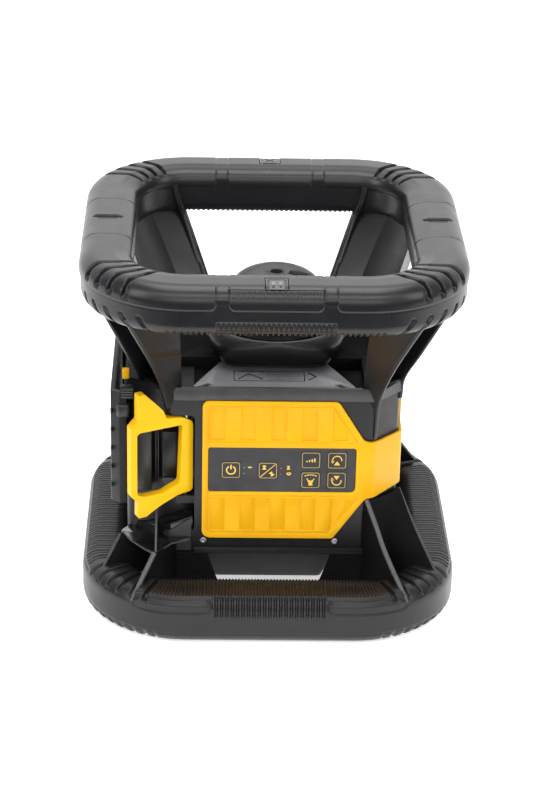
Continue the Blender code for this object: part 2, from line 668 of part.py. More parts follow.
# ---------------------------------------------------------------- levelling gimbal and laser
def build_gimbal():
    ring_low, ring_high = PIVOT_Z - 0.004, PIVOT_Z + 0.004
    ring_outer, ring_inner = 0.0360, 0.0290
    gimbal = ring("gimbal_ring", ring_outer, ring_inner, ring_low, ring_high, "aluminium")
    for side in (-1, 1):
        inner, outer = side * 0.0340, side * 0.0455
        fuse(gimbal, rod(f"trunnion_{side}", (0.0, inner, PIVOT_Z), (0.0, outer, PIVOT_Z), 0.0020))
    cut(gimbal, rod("inner_pin_bore", (-0.05, 0.0, PIVOT_Z), (0.05, 0.0, PIVOT_Z), PIN_BORE))

    yoke_bottom = BODY_BOTTOM + 0.0002
    reach = 0.0470
    base = block("gimbal_yoke", (-0.0080, -reach, yoke_bottom), (0.0080, reach, yoke_bottom + 0.0060),
                 "aluminium")
    for side in (-1, 1):
        low, high = sorted((side * 0.0400, side * reach))
        fuse(base, block(f"yoke_post_{side}", (-0.0070, low, yoke_bottom),
                         (0.0070, high, PIVOT_Z + 0.006)))
    cut(base, rod("yoke_bore", (0.0, -0.06, PIVOT_Z), (0.0, 0.06, PIVOT_Z), 0.0023))
    for label, side in (("left", -1), ("right", 1)):
        start = (side * (SLEEVE_RADIUS - 0.0020), 0.0, PIVOT_Z)
        rod(f"gimbal_pin_{label}", start, (side * 0.0350, 0.0, PIVOT_Z), PIN_RADIUS, "steel", 16)
    can_top, screw_top = yoke_bottom + 0.030, yoke_bottom + 0.048
    for label, x, y in (("x", 0.0580, -0.0300), ("y", 0.0300, 0.0420)):
        can = rod(f"leveling_motor_{label}", (x, y, yoke_bottom), (x, y, can_top), 0.0080, "steel")
        fuse(can, rod(f"lead_screw_{label}", (x, y, can_top - 0.010), (x, y, screw_top), 0.0015, None, 12))


def build_laser_core():
    """The tilting core: a sleeve with the laser below and the spindle bearings above."""
    bore = 0.0120
    seat = 0.0162
    shoulder = 0.1100
    profile = ((SLEEVE_RADIUS, SLEEVE_TOP), (SLEEVE_RADIUS, SLEEVE_BOTTOM), (bore, SLEEVE_BOTTOM),
               (bore, shoulder), (seat, shoulder), (seat, SLEEVE_TOP))
    sleeve = turned("laser_sleeve", profile, "aluminium", closed=True)
    bracket_low, bracket_high = SLEEVE_TOP - 0.0120, SLEEVE_TOP - 0.0090
    bracket = block("motor_bracket", (0.0180, -0.0110, bracket_low), (MOTOR_X + 0.0110, 0.0110, bracket_high))
    cut(bracket, rod("bracket_bore", (0.0, 0.0, 0.1), (0.0, 0.0, 0.2), 0.0185, None, 32))
    fuse(sleeve, bracket)
    cut(sleeve, rod("motor_shaft_hole", (MOTOR_X, 0.0, 0.1), (MOTOR_X, 0.0, 0.2), 0.0030, None, 16))
    cut(sleeve, rod("sleeve_pin_bore", (-0.05, 0.0, PIVOT_Z), (0.05, 0.0, PIVOT_Z), PIN_BORE, None, 16))
    rod("laser_module", (0.0, 0.0, 0.0660), (0.0, 0.0, 0.0900), bore - GAP, "brass", 32)
    rod("collimator_lens", (0.0, 0.0, 0.0940), (0.0, 0.0, 0.0970), bore - GAP, "glass", 32)
    bearing_inner = HUB_RADIUS + GAP
    ring("lower_bearing", seat - GAP, bearing_inner, 0.1260, 0.1310, "steel")
    ring("upper_bearing", seat - GAP, bearing_inner, 0.1350, 0.1400, "steel")

    motor_top = bracket_low - GAP
    pulley_low, pulley_high = 0.1430, 0.1490
    motor = rod("spindle_motor", (MOTOR_X, 0.0, motor_top - 0.022), (MOTOR_X, 0.0, motor_top), 0.0085,
                "steel")
    fuse(motor, rod("motor_shaft", (MOTOR_X, 0.0, motor_top - 0.001), (MOTOR_X, 0.0, pulley_high),
                    0.0012, None, 16))
    ring("motor_pulley", SMALL_PULLEY, 0.0015, pulley_low, pulley_high + 0.0006, "brass", (MOTOR_X, 0.0), 24)
    ring("rotor_pulley", BIG_PULLEY, HUB_RADIUS + GAP, pulley_low, pulley_high, "aluminium")
    build_belt(pulley_low, pulley_high)


def belt_outline(big, small, steps=14):
    """The loop of an open belt round two pulleys, on the line between their centres."""
    lean = math.asin((big - small) / MOTOR_X)
    outline = []
    for step in range(steps + 1):
        angle = math.pi / 2 - lean + step / steps * (math.pi + 2 * lean)
        outline.append((big * math.cos(angle), big * math.sin(angle)))
    for step in range(steps + 1):
        angle = -math.pi / 2 + lean + step / steps * (math.pi - 2 * lean)
        outline.append((MOTOR_X + small * math.cos(angle), small * math.sin(angle)))
    return outline


def build_belt(low, high):
    inside = belt_outline(BIG_PULLEY + GAP, SMALL_PULLEY + GAP)
    outside = belt_outline(BIG_PULLEY + GAP + BELT, SMALL_PULLEY + GAP + BELT)
    plate("drive_belt", [outside, inside], low + 0.0010, high - 0.0010, "seal_rubber")


# ---------------------------------------------------------------- rotor
def build_rotor():
    flange_top = 0.1790
    profile = ((0.0350, flange_top), (0.0350, flange_top - 0.0030), (HUB_RADIUS, flange_top - 0.0060),
               (HUB_RADIUS, 0.1240), (0.0070, 0.1240), (0.0070, flange_top))
    turned("rotor_hub", profile, "black_plastic", closed=True)
    turret_top = 0.2070
    turret = ring("rotor_turret", TURRET_RADIUS, TURRET_RADIUS - 0.003, flange_top + GAP, turret_top,
                  "black_plastic")
    window_low, window_high = flange_top + 0.006, turret_top - 0.004
    cut(turret, block("beam_window", (-0.040, -0.010, window_low), (0.040, 0.010, window_high)))
    rim = TURRET_RADIUS + 0.0005
    cap_bottom = turret_top + GAP
    cap_profile = ((0.0110, CAP_TOP), (0.0200, CAP_TOP - 0.0025), (rim, turret_top + 0.0010),
                   (rim, cap_bottom), (0.0040, cap_bottom), (0.0040, CAP_TOP))
    cap = turned("rotor_cap", cap_profile, "black_plastic", closed=True)
    cut(cap, block("cap_slot", (0.0090, -0.0060, turret_top + 0.003), (0.0400, 0.0010, CAP_TOP + 0.01)))
    build_prism(flange_top)


def build_prism(floor):
    """The five-sided prism that turns the beam through a right angle."""
    outline = ((-0.0080, 0.0), (0.0080, 0.0), (0.0080, 0.0150), (0.0030, 0.0200), (-0.0080, 0.0130))
    place = Matrix.Translation((0.0, 0.0, floor + 0.0035)) @ standing()
    plate("penta_prism", [outline], -0.0080, 0.0080, "glass", place)
    seat = block("prism_seat", (-0.0095, -0.0095, floor + GAP), (0.0095, 0.0095, floor + 0.0032), "aluminium")
    cut(seat, rod("beam_bore", (0.0, 0.0, floor - 0.01), (0.0, 0.0, floor + 0.02), 0.0050, None, 24))


def build_collar():
    """The funnel round the rotor: square at the deck, round at its rim."""
    low, high = DECK_TOP + GAP, 0.1830
    levels = 6
    count = 40
    bm = bmesh.new()
    rows = []
    for level in range(levels + 1):
        rise = level / levels
        radius = 0.0345 + 0.0135 * math.sin(rise * math.pi / 2)
        power = 5.0 - 3.0 * rise
        row = []
        for step in range(count):
            angle = math.tau * (step + 0.5) / count
            along, across = math.cos(angle), math.sin(angle)
            stretch = radius * (abs(along) ** power + abs(across) ** power) ** (-1 / power)
            row.append(bm.verts.new((stretch * along, stretch * across, low + rise * (high - low))))
        rows.append(row)
    for lower, upper in zip(rows, rows[1:]):
        for step in range(count):
            after = (step + 1) % count
            bm.faces.new((lower[step], lower[after], upper[after], upper[step]))
    collar = object_from(bm, "head_collar", "black_plastic")
    solid = collar.modifiers.new("thickness", "SOLIDIFY")
    solid.thickness = 0.0022
    solid.offset = -1.0
    flat = block("collar_base_trim", (-0.06, -0.06, low - 0.01), (0.06, 0.06, low))
    cut(collar, flat)


# ---------------------------------------------------------------- tripod threads
def build_threads():
    """The two tapped brass inserts, one under the boss and one in the rear for use on its side."""
    ring("tripod_thread", INSERT_RADIUS, THREAD_RADIUS, 0.0063, 0.0237, "brass")
    side = ring("side_thread", INSERT_RADIUS, THREAD_RADIUS, 0.0, 0.0160, "brass")
    side.data.transform(Matrix.Translation((0.0, 0.0708, SIDE_THREAD_Z)) @ standing())


# ---------------------------------------------------------------- joint axes
ON_LEVELLING_AXES = ("gimbal_ring", "gimbal_pin_left", "gimbal_pin_right", "laser_sleeve", "laser_module",
                     "collimator_lens", "lower_bearing", "upper_bearing", "spindle_motor", "drive_belt",
                     "rotor_hub", "rotor_pulley", "rotor_turret", "rotor_cap", "prism_seat", "penta_prism")


def place_origins():
    """Puts the origins of the tilting and spinning pieces where the levelling axes meet the spindle."""
    for name in ON_LEVELLING_AXES:
        set_origin(bpy.data.objects[name], (0.0, 0.0, PIVOT_Z))
    set_origin(bpy.data.objects["motor_pulley"], (MOTOR_X, 0.0, PIVOT_Z))


def shift(obj, distance):
    """Moves an object along X, together with everything that is cut from it or joined to it."""
    obj.location.x += distance
    for modifier in obj.modifiers:
        if modifier.type == "BOOLEAN":
            shift(modifier.object, distance)


def place_head():
    """Moves the head and its gimbal, built round the middle line, to their place over the body."""
    for name in (*ON_LEVELLING_AXES, "motor_pulley", "gimbal_yoke", "leveling_motor_x", "leveling_motor_y",
                 "head_collar"):
        shift(bpy.data.objects[name], HEAD_X)


def main():
    build_cage()
    build_housing()
    build_covers()
    build_keypad()
    build_battery_bay()
    build_door()
    build_latch()
    build_gimbal()
    build_laser_core()
    build_rotor()
    build_collar()
    build_threads()
    place_origins()
    place_head()


main()
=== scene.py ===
"""Looks of a rotating laser level in its roll cage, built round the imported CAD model.

Lengths are in millimetres up to the stage, which is in metres; the helpers that make meshes turn them into
metres. The front faces -Y and the battery door is on -X, as in the frame.
"""
from math import atan2, copysign, cos, pi, radians, sin, tan, tau

import bmesh
import bpy
import numpy as np
from mathutils import Matrix, Vector


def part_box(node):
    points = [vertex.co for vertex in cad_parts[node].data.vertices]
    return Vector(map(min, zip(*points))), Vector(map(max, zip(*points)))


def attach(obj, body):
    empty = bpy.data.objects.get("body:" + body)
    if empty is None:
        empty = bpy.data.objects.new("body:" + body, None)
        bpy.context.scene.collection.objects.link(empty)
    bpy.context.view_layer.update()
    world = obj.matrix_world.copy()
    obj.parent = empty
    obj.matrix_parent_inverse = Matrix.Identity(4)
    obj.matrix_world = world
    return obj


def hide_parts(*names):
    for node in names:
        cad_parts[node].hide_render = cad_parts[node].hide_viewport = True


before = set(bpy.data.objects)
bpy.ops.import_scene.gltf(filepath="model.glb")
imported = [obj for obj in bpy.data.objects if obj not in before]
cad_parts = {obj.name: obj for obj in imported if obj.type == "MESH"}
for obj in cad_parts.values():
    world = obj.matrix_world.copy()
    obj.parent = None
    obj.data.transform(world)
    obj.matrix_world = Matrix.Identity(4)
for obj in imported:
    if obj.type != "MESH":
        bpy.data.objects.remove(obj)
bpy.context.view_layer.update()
MM = 0.001


# ---------------------------------------------------------------- places read from the frame
def box(node):
    """A node's box, as two corners."""
    low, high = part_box(node)
    return Vector(low) / MM, Vector(high) / MM


RING_LOW, RING_HIGH = box("upper_grip_ring")
BASE_LOW, BASE_HIGH = box("base_ring")
BODY_LOW, BODY_HIGH = box("rear_housing")
DECK_LOW, DECK_HIGH = box("top_deck")
COVER_LOW, COVER_HIGH = box("front_cover")
DOOR_LOW, DOOR_HIGH = box("battery_door")
CAP_LOW, CAP_HIGH = box("rotor_cap")
TURRET_LOW, TURRET_HIGH = box("rotor_turret")
COLLAR_LOW, COLLAR_HIGH = box("head_collar")
TUB_LOW, TUB_HIGH = box("bottom_housing")

CAGE_HALF = RING_HIGH.x
RING_MIDDLE = (RING_LOW.z + RING_HIGH.z) / 2
BASE_MIDDLE = (BASE_LOW.z + BASE_HIGH.z) / 2
TUBE_WIDTH = 32
TUBE_HEIGHT = BASE_HIGH.z - BASE_LOW.z
CORNER = 70
BODY_FRONT = -68
BODY_RIGHT = DECK_HIGH.x
BODY_LEFT = DECK_LOW.x
HEAD_X = (CAP_LOW.x + CAP_HIGH.x) / 2
LATCH_PIN, HINGE_PIN = (-56, -63), (-101.5, 66.5)
GAP = 0.3
COVER_THICKNESS = 2.2
FAR = 200  # beyond the part on every side, for cutting blocks
BODY = "chassis"


# ---------------------------------------------------------------- materials
class Graph:
    """Short ways to add nodes to a node tree."""

    def __init__(self, tree):
        self.nodes, self.links = tree.nodes, tree.links

    def fill(self, sockets, values):
        """Links each named socket to a node's output, or gives it a plain number or colour."""
        for key, value in values.items():
            if isinstance(value, bpy.types.NodeSocket):
                self.links.new(value, sockets[key])
            else:
                sockets[key].default_value = (*value, 1.0) if isinstance(value, tuple) else value

    def add(self, kind, output, values=None):
        node = self.nodes.new("ShaderNode" + kind)
        self.fill(node.inputs, values or {})
        return node.outputs[output]

    def noise(self, place, scale, detail=3.0):
        return self.add("TexNoise", "Fac", {"Scale": scale, "Detail": detail, "Vector": place})

    def spread(self, value, low, high, start=0.3, end=0.7):
        """Maps a part of a value's range to another range."""
        return self.add("MapRange", "Result", {"Value": value, "From Min": start, "From Max": end,
                                               "To Min": low, "To Max": high})

    def mix(self, factor, first, second):
        node = self.nodes.new("ShaderNodeMix")
        node.data_type = "RGBA"
        self.fill(node.inputs, {"Factor": factor, "A": first, "B": second})
        return node.outputs["Result"]

    def maths(self, operation, first, second):
        node = self.nodes.new("ShaderNodeMath")
        node.operation = operation
        self.fill(node.inputs, {0: first, 1: second})
        return node.outputs["Value"]


def new_material(name):
    material = bpy.data.materials.new(name)
    material.use_nodes = True
    return material, Graph(material.node_tree), material.node_tree.nodes["Principled BSDF"].inputs


def moulded(name, colour, roughness, grain, grain_scale=2600, variation=0.12, edge_wear_and_highlight=0.35, coat=0.0,
            metallic=0.0, shine=0.5):
    """A moulded or machined surface: cloudy colour, fine grain, uneven gloss and paler edges that are partly
    wear, partly a painted highlight.
    """
    material, graph, shader = new_material(name)
    place = graph.add("TexCoord", "Object")
    dark = tuple(c * (1 - variation) for c in colour)
    light = tuple(min(1.0, c * (1 + variation) + 0.001) for c in colour)
    # the pale edge colour: partly wear, partly a painted highlight
    wear_and_highlight_colour = tuple(min(1.0, c * 1.35 + 0.03) for c in colour)
    cloud = graph.spread(graph.noise(place, 38, 4), 0.0, 1.0)
    # paler convex edges: partly edge wear, partly a painted highlight on lit edges
    edge = graph.spread(graph.add("NewGeometry", "Pointiness"), 0.0, edge_wear_and_highlight, 0.53, 0.62)
    wear_and_highlight_mask = graph.maths("MULTIPLY", edge, graph.spread(graph.noise(place, 150), 0.2, 1.0))
    bump = {"Strength": grain, "Distance": 0.0002, "Height": graph.noise(place, grain_scale, 2)}
    graph.fill(shader, {
        "Base Color": graph.mix(wear_and_highlight_mask, graph.mix(cloud, dark, light), wear_and_highlight_colour),
        "Roughness": graph.spread(graph.noise(place, 90, 5), roughness * 0.88, roughness * 1.12),
        "Normal": graph.add("Bump", "Normal", bump),
        "Metallic": metallic, "Specular IOR Level": shine, "Coat Weight": coat, "Coat Roughness": 0.12})
    return material


def glassy(name, colour, roughness=0.04, transmission=1.0, glow=0.0):
    """Clear optics and lit windows, with a faint haze."""
    material, graph, shader = new_material(name)
    place = graph.add("TexCoord", "Object")
    tint = graph.spread(graph.noise(place, 60), 0.0, 1.0)
    graph.fill(shader, {
        "Roughness": graph.spread(graph.noise(place, 220, 4), roughness, roughness * 2.5),
        "Base Color": graph.mix(tint, colour, tuple(c * 0.85 for c in colour)),
        "Transmission Weight": transmission, "Emission Color": colour, "Emission Strength": glow})
    return material


METAL = {"metallic": 1.0}
BRIGHT = {"variation": 0.04, "edge_wear_and_highlight": 0.1, "shine": 0.2}
# each slot's finishes: colour, roughness, grain and what differs from an ordinary moulding
MOULDED = {
    "black_plastic": {
        "housing_black": ((0.008, 0.008, 0.0092), 0.33, 0.1, {"shine": 0.38}),
        # housing_grey and strip_grey are also used for rods that paint highlights along lit edges
        "housing_grey": ((0.03, 0.029, 0.03), 0.42, 0.16, {}),
        "strip_grey": ((0.07, 0.069, 0.073), 0.36, 0.12, {}),
        # pale grey that paints the light on the deck's raised top
        "deck_painted_highlight_grey": ((0.15, 0.148, 0.156), 0.42, 0.16, {"grain_scale": 2200}),
        "gloss_black": ((0.006, 0.006, 0.007), 0.14, 0.02, {"coat": 0.3}),
        "door_black": ((0.0085, 0.0085, 0.0095), 0.44, 0.16, {"shine": 0.22}),
        # a darker, duller copy of the black plastic that paints shade: the lower pillars' insides, the foot
        # webs and the deck floor's pockets
        "painted_shade_black": ((0.004, 0.0038, 0.0045), 0.55, 0.12, {"edge_wear_and_highlight": 0.2, "shine": 0.06}),
        "collar_black": ((0.012, 0.012, 0.0135), 0.36, 0.02, {}),
        "pin_grey": ((0.16, 0.16, 0.165), 0.4, 0.08, {}),
    },
    "grip_polymer": {
        "cage_black": ((0.0098, 0.0098, 0.0114), 0.3, 0.12, {"shine": 0.42}),
        "base_black": ((0.01, 0.01, 0.0114), 0.31, 0.12, {"shine": 0.38}),
    },
    "yellow_plastic": {
        "yellow": ((0.8, 0.402, 0.003), 0.4, 0.12, BRIGHT),
        "latch_yellow": ((0.88, 0.5, 0.003), 0.34, 0.08, BRIGHT),
    },
    "keypad_film": {
        "film": ((0.03, 0.03, 0.033), 0.5, 0.22, {"grain_scale": 4200, "shine": 0.32}),
        "print_yellow": ((0.78, 0.47, 0.06), 0.5, 0.05, {}),
        "print_pale": ((0.42, 0.31, 0.08), 0.5, 0.05, {}),
    },
    "steel": {"steel": ((0.55, 0.55, 0.57), 0.28, 0.05, METAL)},
    "aluminium": {"aluminium": ((0.66, 0.67, 0.69), 0.34, 0.06, {"grain_scale": 1400, "metallic": 1.0})},
    "brass": {"brass": ((0.7, 0.5, 0.2), 0.3, 0.05, METAL)},
    "circuit_board": {"board": ((0.012, 0.12, 0.045), 0.42, 0.1, {"grain_scale": 900})},
    "seal_rubber": {"rubber": ((0.01, 0.01, 0.01), 0.7, 0.3, {"grain_scale": 1800})},
}
FINISHES = {name: (moulded(name, *look[:3], **look[3]), slot)
            for slot, finishes in MOULDED.items() for name, look in finishes.items()}
FINISHES["teal_lens"] = (glassy("teal_lens", (0.01, 0.3, 0.3), 0.15, 0.2, 0.1), "green_lens")
FINISHES["red_lens"] = (glassy("red_lens", (0.5, 0.03, 0.04), 0.15, 0.2, 0.1), "red_lens")
FINISHES["glass"] = (glassy("glass", (0.88, 0.95, 0.96)), "optical_glass")


# ---------------------------------------------------------------- building helpers
def add_object(name, data):
    obj = bpy.data.objects.new(name, data)
    bpy.context.scene.collection.objects.link(obj)
    return obj


def mesh_object(name, verts, faces):
    mesh = bpy.data.meshes.new(name)
    mesh.from_pydata([tuple(float(c) * MM for c in v) for v in verts], [], faces)
    mesh.update()
    return add_object(name, mesh)


def fix_normals(mesh, weld=0.0):
    """Turns every face of a mesh outwards, after joining doubled points where weld is given."""
    bm = bmesh.new()
    bm.from_mesh(mesh)
    if weld:
        bmesh.ops.remove_doubles(bm, verts=bm.verts, dist=weld)
    bmesh.ops.recalc_face_normals(bm, faces=bm.faces)
    bm.to_mesh(mesh)
    bm.free()


def from_bmesh(name, bm):
    bmesh.ops.recalc_face_normals(bm, faces=bm.faces)
    mesh = bpy.data.meshes.new(name)
    bm.to_mesh(mesh)
    bm.free()
    return add_object(name, mesh)


def bake(obj):
    """Replaces an object (a curve, or a mesh with modifiers) by its final mesh in place."""
    bpy.context.view_layer.update()
    graph = bpy.context.evaluated_depsgraph_get()
    mesh = bpy.data.meshes.new_from_object(obj.evaluated_get(graph))
    mesh.transform(obj.matrix_world)
    name = obj.name
    bpy.data.objects.remove(obj)
    fix_normals(mesh, 1e-6)
    mesh.materials.clear()
    return add_object(name, mesh)


def carve(obj, operation, tools):
    """Combines an object with each tool. The tools are used up."""
    name = obj.name
    for tool in tools:
        modifier = obj.modifiers.new("carve", "BOOLEAN")
        modifier.operation = operation
        modifier.object = tool
        modifier.solver = "EXACT"
    baked = bake(obj)
    for tool in tools:
        bpy.data.objects.remove(tool)
    baked.name = name
    return baked


def cut(obj, *tools):
    return carve(obj, "DIFFERENCE", tools)


def join(obj, *tools):
    return carve(obj, "UNION", tools)


def keep_inside(obj, tool):
    return carve(obj, "INTERSECT", [tool])


def soften(obj, width, segments=3, angle=32):
    """Rounds an object's edges."""
    bevel = obj.modifiers.new("soften", "BEVEL")
    bevel.width = width * MM
    bevel.segments = segments
    bevel.limit_method = "ANGLE"
    bevel.angle_limit = radians(angle)
    bevel.harden_normals = True
    bevel.use_clamp_overlap = True
    return obj


def piece(obj, finish, *nodes, body=BODY, angle=38):
    """Finishes a piece: its material, the body it rides on and the CAD nodes it stands for."""
    material, slot = FINISHES[finish]
    obj.data.shade_smooth()
    if angle:
        obj.data.set_sharp_from_angle(angle=radians(angle))
    obj.data.materials.clear()
    obj.data.materials.append(material)
    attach(obj, body)
    if nodes:
        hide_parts(*nodes)
    return obj


def soft_piece(obj, edge, finish, *nodes, body=BODY):
    """A piece with rounded edges. The edge is soften's width, segments and angle."""
    return piece(bake(soften(obj, *edge)), finish, *nodes, body=body)


def block(name, low, high, bevel=0.0, segments=3):
    low, high = Vector(low) * MM, Vector(high) * MM
    bm = bmesh.new()
    bmesh.ops.create_cube(bm, size=1.0)
    bmesh.ops.scale(bm, vec=high - low, verts=bm.verts)
    bmesh.ops.translate(bm, vec=(low + high) / 2, verts=bm.verts)
    obj = from_bmesh(name, bm)
    return bake(soften(obj, bevel, segments)) if bevel else obj


def rod(name, start, end, radius, segments=48, end_radius=None):
    start, end = Vector(start) * MM, Vector(end) * MM
    axis = end - start
    bm = bmesh.new()
    bmesh.ops.create_cone(bm, cap_ends=True, segments=segments, radius1=radius * MM,
                          radius2=(radius if end_radius is None else end_radius) * MM, depth=axis.length)
    turn = axis.to_track_quat("Z", "Y").to_matrix().to_4x4()
    bmesh.ops.transform(bm, matrix=Matrix.Translation((start + end) / 2) @ turn, verts=bm.verts)
    return from_bmesh(name, bm)


def upright_rod(name, x, y, low, high, radius, segments=48):
    return rod(name, (x, y, low), (x, y, high), radius, segments)


def rounded(points, radius, steps=6):
    """Rounds the corners of a closed outline. The radius is one number, or one for each corner."""
    outline = []
    count = len(points)
    for index, corner in enumerate(points):
        size = radius[index] if isinstance(radius, (list, tuple)) else radius
        corner = Vector(corner)
        before = (Vector(points[index - 1]) - corner).normalized()
        after = (Vector(points[(index + 1) % count]) - corner).normalized()
        half = before.angle(after) / 2
        reach = size / tan(half)
        centre = corner + (before + after).normalized() * size / sin(half)
        start = corner + before * reach - centre
        end = corner + after * reach - centre
        sweep = start.angle_signed(end)
        for step in range(steps + 1):
            outline.append(tuple(centre + Matrix.Rotation(-sweep * step / steps, 2) @ start))
    return outline


def oblong(x0, y0, x1, y1):
    """A rectangle's outline from two opposite corners."""
    return [(x0, y0), (x1, y0), (x1, y1), (x0, y1)]


def rectangle(x, y, half_x, half_y):
    return oblong(x - half_x, y - half_y, x + half_x, y + half_y)


def circle(radius, x=0.0, y=0.0, steps=64):
    return [(x + radius * cos(tau * k / steps), y + radius * sin(tau * k / steps)) for k in range(steps)]


def new_curve(name, dimensions, runs, radii=()):
    """A curve of straight runs: closed loops when flat, else one run with a radius at each point."""
    curve = bpy.data.curves.new(name, "CURVE")
    curve.dimensions = dimensions
    for run in runs:
        spline = curve.splines.new("POLY")
        spline.points.add(len(run) - 1)
        for index, (x, y, *z) in enumerate(run):
            spline.points[index].co = (x * MM, y * MM, z[0] * MM if z else 0.0, 1.0)
            if radii:
                spline.points[index].radius = radii[index] * MM
        spline.use_cyclic_u = not radii
    return curve


def plate(name, loops, low, high, matrix=None):
    """Flat outlines (holes by the even-odd rule) given a thickness in their own plane."""
    curve = new_curve(name, "2D", loops)
    curve.fill_mode = "BOTH"
    curve.extrude = (high - low) / 2 * MM
    place = (matrix or Matrix()).copy()
    place.translation *= MM
    obj = add_object(name, curve)
    obj.matrix_world = place @ Matrix.Translation((0.0, 0.0, (low + high) / 2 * MM))
    return bake(obj)


def standing():
    """Stands a flat outline up: its X, Y become X, Z and its thickness runs along -Y."""
    return Matrix.Rotation(radians(90), 4, "X")


def facing_right():
    """Turns a flat outline so that its X, Y become Y, Z and its thickness runs along X."""
    return Matrix.Rotation(radians(90), 4, "Z") @ Matrix.Rotation(radians(90), 4, "X")


def tube(name, points, radius, resolution=5):
    """A rounded bar along points."""
    curve = new_curve(name, "3D", [points], [radius] * len(points))
    curve.bevel_depth = 1.0
    curve.bevel_resolution = resolution
    curve.use_fill_caps = True
    return bake(add_object(name, curve))


def swept_faces(rows, columns):
    """Quads between neighbouring rows of points, closed both ways."""
    faces = []
    for row in range(rows):
        here, there = row * columns, (row + 1) % rows * columns
        for k in range(columns):
            nxt = (k + 1) % columns
            faces.append((here + k, there + k, there + nxt, here + nxt))
    return faces


def turned(name, profile, centre_x, steps=96):
    """A turned solid from a closed profile of (radius, height) points."""
    verts = []
    for step in range(steps):
        angle = tau * step / steps
        verts += [(centre_x + r * cos(angle), r * sin(angle), z) for r, z in profile]
    obj = mesh_object(name, verts, swept_faces(steps, len(profile)))
    fix_normals(obj.data)
    return obj


def smooth_path(points, steps):
    """A smooth run through a few points (Catmull-Rom), as steps + 1 points."""
    rail = [Vector(p) for p in points]
    ends = [rail[0] * 2 - rail[1], *rail, rail[-1] * 2 - rail[-2]]
    out = []
    for step in range(steps + 1):
        place = step / steps * (len(rail) - 1)
        index = min(int(place), len(rail) - 2)
        t = place - index
        a, b, c, d = ends[index:index + 4]
        out.append(0.5 * (2 * b + (c - a) * t + (2 * a - 5 * b + 4 * c - d) * t * t
                          + (3 * b - a - 3 * c + d) * t ** 3))
    return out


# ---------------------------------------------------------------- relief on the cage tubes
def ramp(value, low, high):
    """A soft step from 0 at low to 1 at high."""
    t = np.clip((value - low) / (high - low), 0.0, 1.0)
    return t * t * (3 - 2 * t)


def fall(value, low, high):
    """A soft step from 1 at low to 0 at high."""
    return 1 - ramp(value, low, high)


def window(value, start, full, end, gone):
    """1 between full and end, falling softly to 0 at start and gone."""
    return ramp(value, start, full) * fall(value, end, gone)


def line(distance, width):
    """1 along a line of the given width, falling to 0 at its edges."""
    return 1 - ramp(np.abs(distance), width * 0.3, width * 0.55)


def soft_box(x, y, half_x, half_y, radius):
    """Signed distance to a rounded rectangle, negative inside."""
    dx = np.abs(x) - half_x + radius
    dy = np.abs(y) - half_y + radius
    outside = np.hypot(np.maximum(dx, 0), np.maximum(dy, 0))
    return outside + np.minimum(np.maximum(dx, dy), 0) - radius


def ribs(along, pitch, share=0.5):
    """Repeated rounded ribs, 1 on each crest and 0 between them."""
    wave = np.cos(tau * along / pitch)
    return ramp(wave, -share, share)


def tube_section(count):
    """The tube's section: distance round it from the top's middle (outwards positive), place and normal."""
    half, rise = TUBE_WIDTH / 2, TUBE_HEIGHT / 2
    shoulder, foot = 11, 10
    fine = []
    corners = ((half, rise, shoulder, 90), (half, -rise, foot, 0), (-half, -rise, foot, -90),
               (-half, rise, shoulder, -180))
    for x, y, radius, start in corners:
        centre = Vector((copysign(abs(x) - radius, x), copysign(abs(y) - radius, y)))
        for step in range(41):
            angle = radians(start - 90 * step / 40)
            fine.append((centre.x + radius * cos(angle), centre.y + radius * sin(angle),
                         cos(angle), sin(angle)))
    fine = np.array([(0.0, rise, 0.0, 1.0), *fine, (0.0, rise, 0.0, 1.0)])
    gaps = np.hypot(*np.diff(fine[:, :2], axis=0).T)
    length = np.concatenate(([0.0], np.cumsum(gaps)))
    wanted = np.arange(count) * length[-1] / count
    place = np.stack([np.interp(wanted, length, fine[:, k]) for k in range(4)], axis=1)
    place[:, 2:] /= np.linalg.norm(place[:, 2:], axis=1, keepdims=True)
    around = np.where(wanted > length[-1] / 2, wanted - length[-1], wanted)
    return around, place


def sorted_section():
    """The section again, ordered by distance from inside to outside, for reading places from."""
    distances, section = tube_section(400)
    order = np.argsort(distances)
    return distances[order], section[order]


SECTION = sorted_section()
STRAIGHT = CAGE_HALF - CORNER
BEND = CORNER - TUBE_WIDTH / 2
SIDE_REACH = STRAIGHT + BEND * pi / 4


def cage_path(per_side):
    """The cage's centre line: distance from each side's middle, side number, place and outward normal."""
    rows = []
    for side, turn in enumerate((-90, 0, 90, 180)):
        out = Vector((cos(radians(turn)), sin(radians(turn))))
        on = Vector((-out.y, out.x))
        for step in range(per_side):
            along = SIDE_REACH * (2 * step / per_side - 1)
            bend = max(abs(along) - STRAIGHT, 0.0) / BEND
            sign = copysign(1.0, along)
            normal = out * cos(bend) + on * sin(bend) * sign
            corner = out * STRAIGHT + on * min(abs(along), STRAIGHT) * sign
            place = corner + normal * BEND
            rows.append((along, side, place.x, place.y, normal.x, normal.y))
    return np.array(rows)


